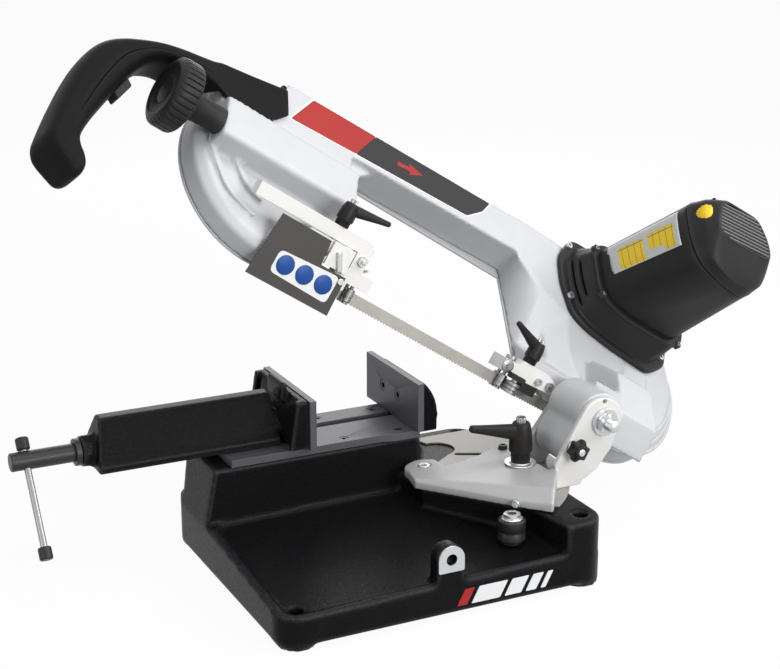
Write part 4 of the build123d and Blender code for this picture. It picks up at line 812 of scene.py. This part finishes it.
def knobRibs(height, turn):  # thin grooves between broad ribs, only on the rim
    phase = np.abs((turn * knobLook["ribs"] / (2 * np.pi)) % 1 - 0.5)
    rim = np.clip((height - 345) / 1.5, 0, 1) * np.clip((367.2 - height) / 1.5, 0, 1)
    return -knobLook["ribDepth"] * rim * np.exp(-(phase / knobLook["groove"]) ** 4)


knob = spun(knobProfile, bowPoint(0, 0, 30), -uAxis, wAxis, knobLook["ribs"] * 9, knobRibs)
addSurface("tensionKnob", [knob], "plastic", nodeBody["tension_knob"], ["tension_knob"], crease=50)
print("handle and knob done")

# clamp levers: a turned hub, a tapered arm and a serrated screw on top

leverLook = [
    {"name": "mitreLever", "node": "mitre_lock_lever", "foot": basePoint(145, -29, 97), "axis": zAxis,
     "arm": np.array([-0.975, 0, 0.22]), "armAt": 31.5, "reach": 63.0, "hub": 12.6, "high": 43.0,
     "root": 8.4},
    {"name": "leftGuideLever", "node": "left_guide_lever", "foot": cutPoint(-156, 13, 58.4), "axis": nAxis,
     "arm": np.array([0.89, -0.2, -0.41]), "armAt": 18.5, "reach": 45.0, "hub": 9.0, "high": 25.0,
     "root": 6.0},
    {"name": "rightGuideLever", "node": "right_guide_lever", "foot": cutPoint(124, 15, 32.4), "axis": nAxis,
     "arm": uAxis * -0.94 + nAxis * 0.3 - yAxis * 0.15, "armAt": 18.5, "reach": 45.0, "hub": 9.0,
     "high": 25.0, "root": 6.0},
]
hubShape = np.array([
    (0.78, 0.0), (0.83, 0.02), (0.83, 0.22), (0.90, 0.25), (0.99, 0.27), (1.0, 0.31), (0.98, 0.55),
    (0.92, 0.74), (0.84, 0.87), (0.76, 0.96), (0.68, 0.995), (0.45, 1.0), (0.0, 1.0),
])
armShape = np.array([  # along the arm, half height, half width, both as shares of the root
    (0.0, 1.0, 0.78), (0.12, 1.0, 0.78), (0.25, 0.92, 0.72), (0.45, 0.78, 0.64), (0.65, 0.64, 0.56),
    (0.82, 0.53, 0.50), (0.92, 0.49, 0.48), (0.965, 0.46, 0.46), (0.985, 0.36, 0.38), (0.998, 0.18, 0.2),
    (1.0, 0.02, 0.02),
])
screwShape = np.array([(1.0, -0.5), (1.0, 1.0), (0.94, 1.12), (0.6, 1.12), (0.5, 0.8), (0.0, 0.8)])
for look in leverLook:
    body, foot, axis = nodeBody[look["node"]], look["foot"], look["axis"]
    arm = look["arm"] / np.linalg.norm(look["arm"])
    hub = spun(hubShape * (look["hub"], look["high"]), foot, axis, arm, 44)
    side = np.cross(axis, arm)
    side /= np.linalg.norm(side)
    rise = np.cross(arm, side)
    centre = foot + (axis * look["armAt"] + arm * (armShape[:, :1] * look["reach"])) * mm
    taper = look["root"] * mm * armShape
    bar = swept(centre, taper[:, 2:] * side, taper[:, 1:2] * rise, 3.0, turns(28))
    addSurface(look["name"], [hub, bar], "lever", body, [look["node"]], crease=44)
    top = foot + axis * look["high"] * mm
    screw = spun(screwShape * look["hub"] * 0.4, top, axis, arm, 80, lambda h, t: 0.22 * np.cos(t * 20))
    addSurface(look["name"] + "Screw", [screw], "steel", body)
print("levers done")

# hinge front: washer, nut and threaded stud end, lock knob, deck screws

hingeLook = {"x": 221.2, "z": 141.9, "pin": 7.95, "thread": 1.5, "threadDepth": 0.5}
front = -yAxis
hingeFoot = basePoint(hingeLook["x"], 0, hingeLook["z"])


def washer(centre, axis, side, inner, outer, thick):  # closed ring of a small rounded section
    loop = [
        (inner, 0.3), (inner, thick - 0.3), (inner + 0.3, thick), (outer - 0.5, thick), (outer, thick - 0.5),
        (outer, 0.4), (outer - 0.4, 0), (inner + 0.3, 0), (inner, 0.3),
    ]
    return spun(loop, centre, axis, side, 40)


threadRun = np.arange(80.5, 90.2, 0.375)
wave = 0.5 + 0.5 * np.cos(threadRun * 2 * np.pi / hingeLook["thread"])
thread = hingeLook["pin"] - hingeLook["threadDepth"] * wave
stud = [(0, -13), (12.0, -13), (12.0, -8.6), (8, -8.5), (8, 80.0)] + list(zip(thread - 1.0, threadRun))
stud += [(5.6, 90.8), (4.6, 91.6), (2.6, 92.4), (0, 92.7)]
addSurface("hingeStud", [spun(stud, hingeFoot, front, xAxis, 40)], "zinc", "swivel", ["hinge_pin"])
lockFoot = basePoint(145, -29, 0)
stopAxis = np.array([-0.781, -0.625, 0.0])
hardware = [
    hexNut(hingeFoot + front * 73.4 * mm, front, xAxis, 10.2, 7.6),
    spun([(6, 56), (6, 104), (0, 104)], lockFoot, zAxis, xAxis, 24),
    hexNut(lockFoot + zAxis * 56 * mm, zAxis, xAxis, 8.2, 7),
    socketScrew(basePoint(104.6, -92.2, 80.2), stopAxis, zAxis, 4.2, 5.4, 2.4),
]
rings = [
    washer(hingeFoot + front * 70.2 * mm, front, xAxis, 8.1, 15.2, 3.0),
    washer(lockFoot + zAxis * 94.1 * mm, zAxis, xAxis, 6.1, 17.0, 1.6),
    washer(lockFoot + zAxis * 95.7 * mm, zAxis, xAxis, 6.1, 12.4, 1.1),
]
addSurface("swivelHardware", hardware, "zinc", "swivel", ["swivel_fasteners"], rings)
deckScrew = socketScrew(basePoint(152, 20, 90), zAxis, xAxis, 4.7, 6.6, 2.6)
addSurface("deckScrew", [deckScrew], "blackSteel", "swivel")

lockKnobLook = {"lobes": 6, "lobe": 1.7}
lockProfile = [
    (4.9, -12.5), (4.9, -0.5), (7.5, 0.0), (9.6, 0.4), (10.6, 1.8), (10.9, 4.5), (10.6, 8.0), (9.4, 9.9),
    (7.6, 10.5), (7.2, 12.6), (6.4, 13.3), (4.2, 13.4), (4.0, 12.4), (0, 12.4),
]


def lobes(height, turn):  # six finger lobes on the rim, none on the boss
    rim = np.clip((height + 0.2) / 1.2, 0, 1) * np.clip((10.6 - height) / 1.4, 0, 1)
    return lockKnobLook["lobe"] * rim * np.cos(turn * lockKnobLook["lobes"])


knobFoot = basePoint(184, -75, 119)
lockKnob = spun(lockProfile, knobFoot, front, xAxis, 96, lobes)
lockBody = nodeBody["lock_pin_knob"]
addSurface("lockKnob", [lockKnob], "lever", lockBody, ["lock_pin_knob"], crease=50)
insert = spun([(3.8, 12.0), (3.8, 13.1), (3.2, 13.5), (0, 13.5)], knobFoot, front, xAxis, 24)
addSurface("lockKnobInsert", [insert], "zinc", lockBody)
bush = washer(basePoint(184, -69.8, 119), front, xAxis, 5.2, 8.2, 3.6)
addSurface("lockPinBush", [], "zinc", "swivel", rings=[bush])

bumperLook = {"at": (92.0, -104.0), "top": 70.0}
bumperProfile = [
    (10.4, 44), (11, 44.6), (11, 47.8), (13.2, 48), (14, 48.8), (14, 56), (13.4, 57), (13.4, 58.4),
    (14, 59.4), (14, 68.8), (13.2, 69.8), (12.4, 70), (0, 70),
]
bumper = spun(bumperProfile, basePoint(*bumperLook["at"], 0), zAxis, xAxis, 48)
addSurface("stopBumper", [bumper], "rubber", "base", ["stop_bumper"])
bumperTop = basePoint(*bumperLook["at"], bumperLook["top"])
bumperScrew = socketScrew(bumperTop, zAxis, xAxis, 8.6, 5.9, 2.6)
bumperWasher = washer(bumperTop, zAxis, xAxis, 4.2, 11.0, 1.4)
addSurface("bumperScrew", [bumperScrew], "zinc", "base", rings=[bumperWasher])
print("hinge and stop done")

# saw band: one closed strip, turned over between the guides, saw teeth along its lower edge

bandLook = {"width": 13.0, "thick": 0.65, "pitch": 4.0, "gullet": 1.5, "turnOver": 48.0,
            "turnFrom": (28.0, -122.0), "turnTo": (119.0, 28.0)}


def sawBand():
    # a rectangle carried round the loop of two half circles and two straight runs, its width turned about the
    # run's axis between the guides, its lower edge a saw wave of the length
    straight, arc = driveU - idlerU, np.pi * bladeMid
    around = 2 * straight + 2 * arc
    count = int(round(around / bandLook["pitch"])) * 4
    s = np.arange(count + 1) / count * around
    onCutRun, onDrive, onReturn = s < straight, s < straight + arc, s < 2 * straight + arc
    onward = np.pi / 2 + (s - 2 * straight - arc) / bladeMid
    angle = np.where(onDrive, -np.pi / 2 + (s - straight) / bladeMid, onward)
    u = np.where(onCutRun, idlerU + s, np.where(onDrive, driveU + bladeMid * np.cos(angle), np.where(
        onReturn, driveU - (s - straight - arc), idlerU + bladeMid * np.cos(angle))))
    w = np.where(onCutRun, -bladeMid, np.where(onDrive, bladeMid * np.sin(angle), np.where(
        onReturn, bladeMid, bladeMid * np.sin(angle))))
    (leaving, left), (right, joining) = bandLook["turnFrom"], bandLook["turnTo"]
    turned = np.interp(u, [idlerU + leaving, left, right, driveU - joining], [0, 1, 1, 0]) * onCutRun
    turn = np.radians(bandLook["turnOver"]) * turned
    out = np.where((onCutRun | (onReturn & ~onDrive))[:, None], np.sign(w)[:, None] * wAxis,
                   np.cos(angle)[:, None] * uAxis + np.sin(angle)[:, None] * wAxis)
    across = mAxis * np.cos(turn)[:, None] + wAxis * np.sin(turn)[:, None]
    out = np.where(onCutRun[:, None], mAxis * np.sin(turn)[:, None] - wAxis * np.cos(turn)[:, None], out)
    middle = bowPoint(u, w, wheelM)
    tooth = bandLook["gullet"] * (1 - (np.arange(count + 1) % 4) / 3.0)
    low, high = -bandLook["width"] / 2 + tooth, bandLook["width"] / 2
    half = bandLook["thick"] / 2
    corners = [(low, -half), (low, half), (low * 0 + high, half), (low * 0 + high, -half)]
    return np.stack([middle + (a[:, None] * across + b * out) * mm for a, b in corners], 1)


addSurface("sawBand", [], "blade", "bow", ["band_blade"], [sawBand()], crease=30)

rollerShape = [
    (2.1, -5), (4.4, -5), (5.0, -4.4), (5.0, -0.6), (4.6, -0.3), (4.6, 0.3), (5.0, 0.6), (5.0, 8.4), (4.4, 9),
    (2.1, 9), (2.1, -5),
]
for node, u, side in (("left_front_roller", -108, -1), ("left_rear_roller", -108, 1),
                      ("right_front_roller", 105, -1), ("right_rear_roller", 105, 1)):
    name = "guide" + "".join(word.title() for word in node.split("_"))
    ring = spun(rollerShape, cutPoint(u, bladeY + side * 5.425, 0), nAxis, uAxis, 40)
    addSurface(name, [], "steel", nodeBody[node], [node], [ring])
print("band and rollers done")

# small fittings: front lug face, latch and ribs on the drum, bearings and nuts at the guides

lugLook = {"x": -2.7, "z": 63.8, "bore": 5.9, "half": 14.0, "foot": 13.0, "face": -153.15}


def lugFace():  # a ring round the bore: half circle above, square below, radius by angle for its outer loop
    turn = turns(64)
    square = np.minimum(lugLook["half"] / np.maximum(np.abs(np.cos(turn)), 1e-6),
                        lugLook["foot"] / np.maximum(np.abs(np.sin(turn)), 1e-6))
    outer = np.where(np.sin(turn) > 0, lugLook["half"], square)
    x, z, bore, face = (lugLook[key] for key in ("x", "z", "bore", "face"))
    loops = [(bore, 0.0), (outer, 0.0), (outer, 1.6), (bore, 1.6), (bore, 0.0)]
    return np.stack([basePoint(x + r * np.cos(turn), face + d, z + r * np.sin(turn)) for r, d in loops])


addSurface("lugFace", [], "zinc", "base", rings=[lugFace()])

latchLook = {
    "foot": 24.6, "high": {"bar": 3.6, "tab": 2.6},
    "bar": [(224, -24.5), (262, -26.5), (262, -31), (226, -31.5)],
    "tab": [(251, -31), (263, -28.5), (290, -29.5), (303, -28.5), (303, -36), (291, -38), (263, -46),
            (251, -44)],
}
foot = latchLook["foot"]
latch = [thinPlate(softOutline(latchLook[part], 2.0, 4), bowPoint, foot, foot + high, 0.8)
         for part, high in latchLook["high"].items()]
addSurface("drumLatch", latch, "silver", "bow")


def drumRib(radius, m, start, end, thick):  # a round bar bent along an arc about the drive wheel's axis
    turn = np.radians(np.linspace(start, end, 48))
    out = np.cos(turn)[:, None] * uAxis + np.sin(turn)[:, None] * wAxis
    path = bowPoint(driveU + radius * np.cos(turn), radius * np.sin(turn), m)
    taper = np.sqrt(np.clip(1 - np.linspace(-1, 1, 48) ** 8, 0.02, 1))[:, None] * thick * mm
    return swept(path, out * taper, mAxis * taper, 2.0, turns(14))


drumRibLook = [  # radius, m, first and last degrees, half thickness
    (103.6, 9.6, -112, 18, 2.6), (96.0, 15.6, -104, 6, 2.4), (87.4, 22.6, -96, -8, 2.2),
]
addSurface("drumRibs", [drumRib(*look) for look in drumRibLook], "silver", "bow")

ribLook = {"half": 3.6, "foot": 6.0, "top": 17.3, "arcs": [
    ((-304, -10), (-276, -52), (-241, -71)), ((-286, 9), (-259, -33), (-235, -49))]}


def tubRib(start, middle, end):  # a flat-topped bar on a smooth curve through three points, thin at both ends
    path = eased([start, middle, end], 40)
    run = np.gradient(path, axis=0)
    run /= np.linalg.norm(run, axis=1)[:, None]
    taper = np.sqrt(np.clip(1 - np.linspace(-1, 1, 40) ** 12, 0.02, 1))[:, None] * mm
    across = (-run[:, 1:] * uAxis + run[:, :1] * wAxis) * ribLook["half"] * taper
    high = (ribLook["top"] - ribLook["foot"]) / 2
    deep = np.repeat([mAxis * high * mm], 40, 0)
    return swept(bowPoint(*path.T, ribLook["foot"] + high), across, deep, 5.0, turns(28))


addSurface("tubRibs", [tubRib(*arc) for arc in ribLook["arcs"]], "silver", "bow", crease=50)


def bearing(centre, axis, side, radius, rings):  # a stack of rings with a groove between each pair
    profile = [(0, 0)]
    for k in range(rings):
        low = k * radius * 0.55
        profile += [(radius - 1.2, low), (radius, low + 0.7)]
        profile += [(radius, low + radius * 0.42), (radius - 1.2, low + radius * 0.5)]
    high = rings * radius * 0.55
    profile += [(radius * 0.45, high), (radius * 0.45, high + 2.4), (0, high + 2.4)]
    return spun(profile, centre, axis, side, 36)


guideSteel = [
    bearing(cutPoint(113, 5.5, -6), nAxis, uAxis, 8.0, 3),
    bearing(cutPoint(97, 9.2, 19), front, uAxis, 7.0, 1),
    hexNut(cutPoint(101, 15, 26), nAxis, uAxis, 5.2, 4.5),
    hexNut(cutPoint(158, 9.2, 21), front, uAxis, 4.4, 3.6),
]
addSurface("rightGuideFittings", guideSteel, "steel", "bow")


def block(u, n, y):  # a box with rounded corners between two of each
    edge = softOutline([(u[0], n[0]), (u[1], n[0]), (u[1], n[1]), (u[0], n[1])], 1.6, 4)
    return thinPlate(edge, onCut, y[1], y[0], 0.6)


guideBlack = [block((103, 123), (9.5, 15.5), (0.5, 9.4)), block((124, 146), (1.5, 12.6), (7.5, 19.5))]
addSurface("rightGuideBracket", guideBlack, "blackSteel", "bow")
rodAlong = (uAxis * 10 - nAxis * 17) / np.hypot(10, 17)
rod = [(2.2, 0), (2.7, 0.5), (2.7, 19), (2.2, 19.6), (0, 19.6)]
stub = [(2.3, 0), (2.3, 7.4), (1.7, 8), (0, 8)]
leftSteel = [
    spun(rod, cutPoint(-148.5, 1.6, 35), rodAlong, front, 24),
    hexNut(cutPoint(-119, 7.2, 38), front, uAxis, 4.8, 4.0),
    spun(stub, cutPoint(-119, 7.2, 38), front, uAxis, 20),
    hexNut(cutPoint(-112, 13, 33), uAxis, nAxis, 4.4, 4.2),
    spun(stub, cutPoint(-112, 13, 33), uAxis, nAxis, 20),
]
addSurface("leftGuideFittings", leftSteel, "zinc", "left_guide")
print("small fittings done")

# plain coloured films: arm strip, guard panel, front stripes

stripLook = {
    "face": 25.0,
    "border": [(-197.5, 101.4), (-223.0, 58.7), (22.6, 72.6), (45.4, 91.3), (57, 110.4)],
    "red": [(-195.8, 100.0), (-220.5, 60.0), (-135.2, 65.2), (-111.7, 103.0)],
    "black": [(-111.7, 103.0), (-135.2, 65.2), (22.1, 74.0), (44, 92), (54.5, 109.0)],
    "arrow": [(-80, 88.4), (-80, 83.2), (-62, 85.0), (-62.4, 80.6), (-44, 90.0), (-64, 95.2), (-63, 90.4)],
}
stripParts = [  # piece, outline, back and front over the arm's face, corner, finish
    ("stripBorder", "border", -0.6, 0.35, 2.5, "white"), ("stripRed", "red", 0.1, 0.6, 2.5, "red"),
    ("stripBlack", "black", 0.1, 0.6, 2.5, "blackFilm"), ("stripArrow", "arrow", 0.4, 0.8, 0.6, "red"),
]
for name, part, back, lift, corner, finish in stripParts:
    face = stripLook["face"]
    outline = softOutline(stripLook[part], corner, 5)
    addSurface(name, [thinPlate(outline, bowPoint, face + back, face + lift, 0.1)], finish, "bow")

panelLook = {"face": 2.4, "edge": [(-206, 9.6), (-134.6, 13.6), (-134.6, -16.3), (-206, -14.1)],
             "spots": [(-193.5, -1.7), (-170.2, -1.2), (-147.0, -0.7)]}
guardBody = nodeBody["blade_guard"]
face = panelLook["face"]
panelRows = thinPlate(softOutline(panelLook["edge"], 6.0, 7), onCut, face + 0.2, face - 0.35, 0.1)
addSurface("guardPanel", [panelRows], "white", guardBody)
spotShape = [(10.0, 0), (10.0, 0.3), (9.7, 0.5), (0, 0.5)]
spots = [spun(spotShape, cutPoint(u, face - 0.25, n), front, uAxis, 48) for u, n in panelLook["spots"]]
addSurface("guardSpots", spots, "blue", guardBody)

stripeLook = {"face": -151.9, "low": 12.5, "high": 29.5, "lean": 9.0, "red": [(4.0, 15.0)],
              "white": [(20, 52), (57, 76), (81, 93), (98, 104)]}


def slantBar(left, right):  # a parallelogram that leans to the right
    low, high, lean = stripeLook["low"], stripeLook["high"], stripeLook["lean"]
    return softOutline([(left, low), (left + lean, high), (right + lean, high), (right, low)], 1.2, 4)


face = stripeLook["face"]
for name, finish in (("frontStripeRed", "red"), ("frontStripesWhite", "white")):
    bars = [thinPlate(slantBar(*bar), onFront, face + 1.2, face - 0.5, 0.1) for bar in stripeLook[finish]]
    addSurface(name, bars, finish, "base")
print("films done")

# floor and light

stageLook = {"floorHalf": 24.0, "floorTone": 0.36, "floorSeen": 0.9, "floorWhite": 0.95, "worldFill": 0.2}
cameraLook = {"place": (-0.70943, -1.4589, 0.75321), "yaw": -26.12, "pitch": 17.3, "lens": 77.765}
lampAim = Vector((0.0, 0.0, 0.25))
lampLook = [
    {"name": "frontBox", "place": (0.5, -2.2, 0.85), "size": (1.0, 0.9), "power": 30},
    {"name": "rightBox", "place": (2.0, -1.15, 1.6), "size": (1.6, 1.4), "power": 32},
    {"name": "topBox", "place": (0.0, -0.5, 2.0), "size": (1.5, 1.1), "power": 14},
    {"name": "leftBox", "place": (-2.0, -0.6, 0.6), "size": (0.9, 0.9), "power": 6},
    {"name": "backBox", "place": (0.9, 2.2, 1.1), "size": (1.8, 0.9), "power": 15},
]


def seenShare(pen):  # 1 for camera, mirror and glass rays
    path = pen.node("ShaderNodeLightPath").socket.node.outputs
    seen = Signal(pen.tree, path["Is Camera Ray"]) + Signal(pen.tree, path["Is Glossy Ray"])
    return (seen + Signal(pen.tree, path["Is Transmission Ray"])).held()


floorMesh = bpy.data.meshes.new("floor")
half = stageLook["floorHalf"]
floorCorners = [(-half, -half, 0), (half, -half, 0), (half, half, 0), (-half, half, 0)]
floorMesh.from_pydata(floorCorners, [], [(0, 1, 2, 3)])
floor = bpy.data.objects.new("floor", floorMesh)
bpy.context.scene.collection.objects.link(floor)
floorPaint, pen, spot = startFinish("floorPaint")
seen = seenShare(pen)
dull, pale = (pen.node("ShaderNodeBsdfDiffuse", {}, {"Color": (c, c, c, 1)})
              for c in (stageLook["floorTone"], stageLook["floorSeen"]))
white = pen.node("ShaderNodeEmission", {}, {"Color": (1, 1, 1, 1), "Strength": 1.0})
cover = pen.node("ShaderNodeMixShader", {}, {0: seen, 1: dull, 2: pale})
cover = pen.node("ShaderNodeMixShader", {}, {0: seen * stageLook["floorWhite"], 1: cover, 2: white})
pen.node("ShaderNodeOutputMaterial", {}, {"Surface": cover})
floorMesh.materials.append(floorPaint)

world = bpy.data.worlds.new("studio")
bpy.context.scene.world = world
world.use_nodes = True
world.node_tree.nodes.clear()
pen = Signal(world.node_tree)
fill = pen.node("ShaderNodeBackground", {}, {"Color": (1, 1, 1, 1), "Strength": stageLook["worldFill"]})
white = pen.node("ShaderNodeBackground", {}, {"Color": (1, 1, 1, 1), "Strength": 1.0})
shown = pen.node("ShaderNodeMixShader", {}, {0: seenShare(pen), 1: fill, 2: white})
pen.node("ShaderNodeOutputWorld", {}, {"Surface": shown})

for look in lampLook:
    lamp = bpy.data.lights.new(look["name"], "AREA")
    lamp.shape, lamp.size, lamp.size_y, lamp.energy = "RECTANGLE", *look["size"], look["power"]
    holder = bpy.data.objects.new(look["name"], lamp)
    holder.location = look["place"]
    holder.rotation_euler = (lampAim - Vector(look["place"])).to_track_quat("-Z", "Y").to_euler()
    bpy.context.scene.collection.objects.link(holder)

camera = bpy.data.objects.new("camera", bpy.data.cameras.new("camera"))
camera.data.lens, camera.data.sensor_width = cameraLook["lens"], 36.0
yaw, pitch = math.radians(cameraLook["yaw"]), math.radians(cameraLook["pitch"])
back = Vector((math.sin(yaw) * math.cos(pitch), -math.cos(yaw) * math.cos(pitch), math.sin(pitch)))
camera.location = cameraLook["place"]
camera.rotation_euler = (-back).to_track_quat("-Z", "Y").to_euler()
camera.data.clip_end = 80.0
bpy.context.scene.collection.objects.link(camera)
bpy.context.scene.camera = camera
bpy.context.scene.view_settings.view_transform = "Standard"
print("stage set")
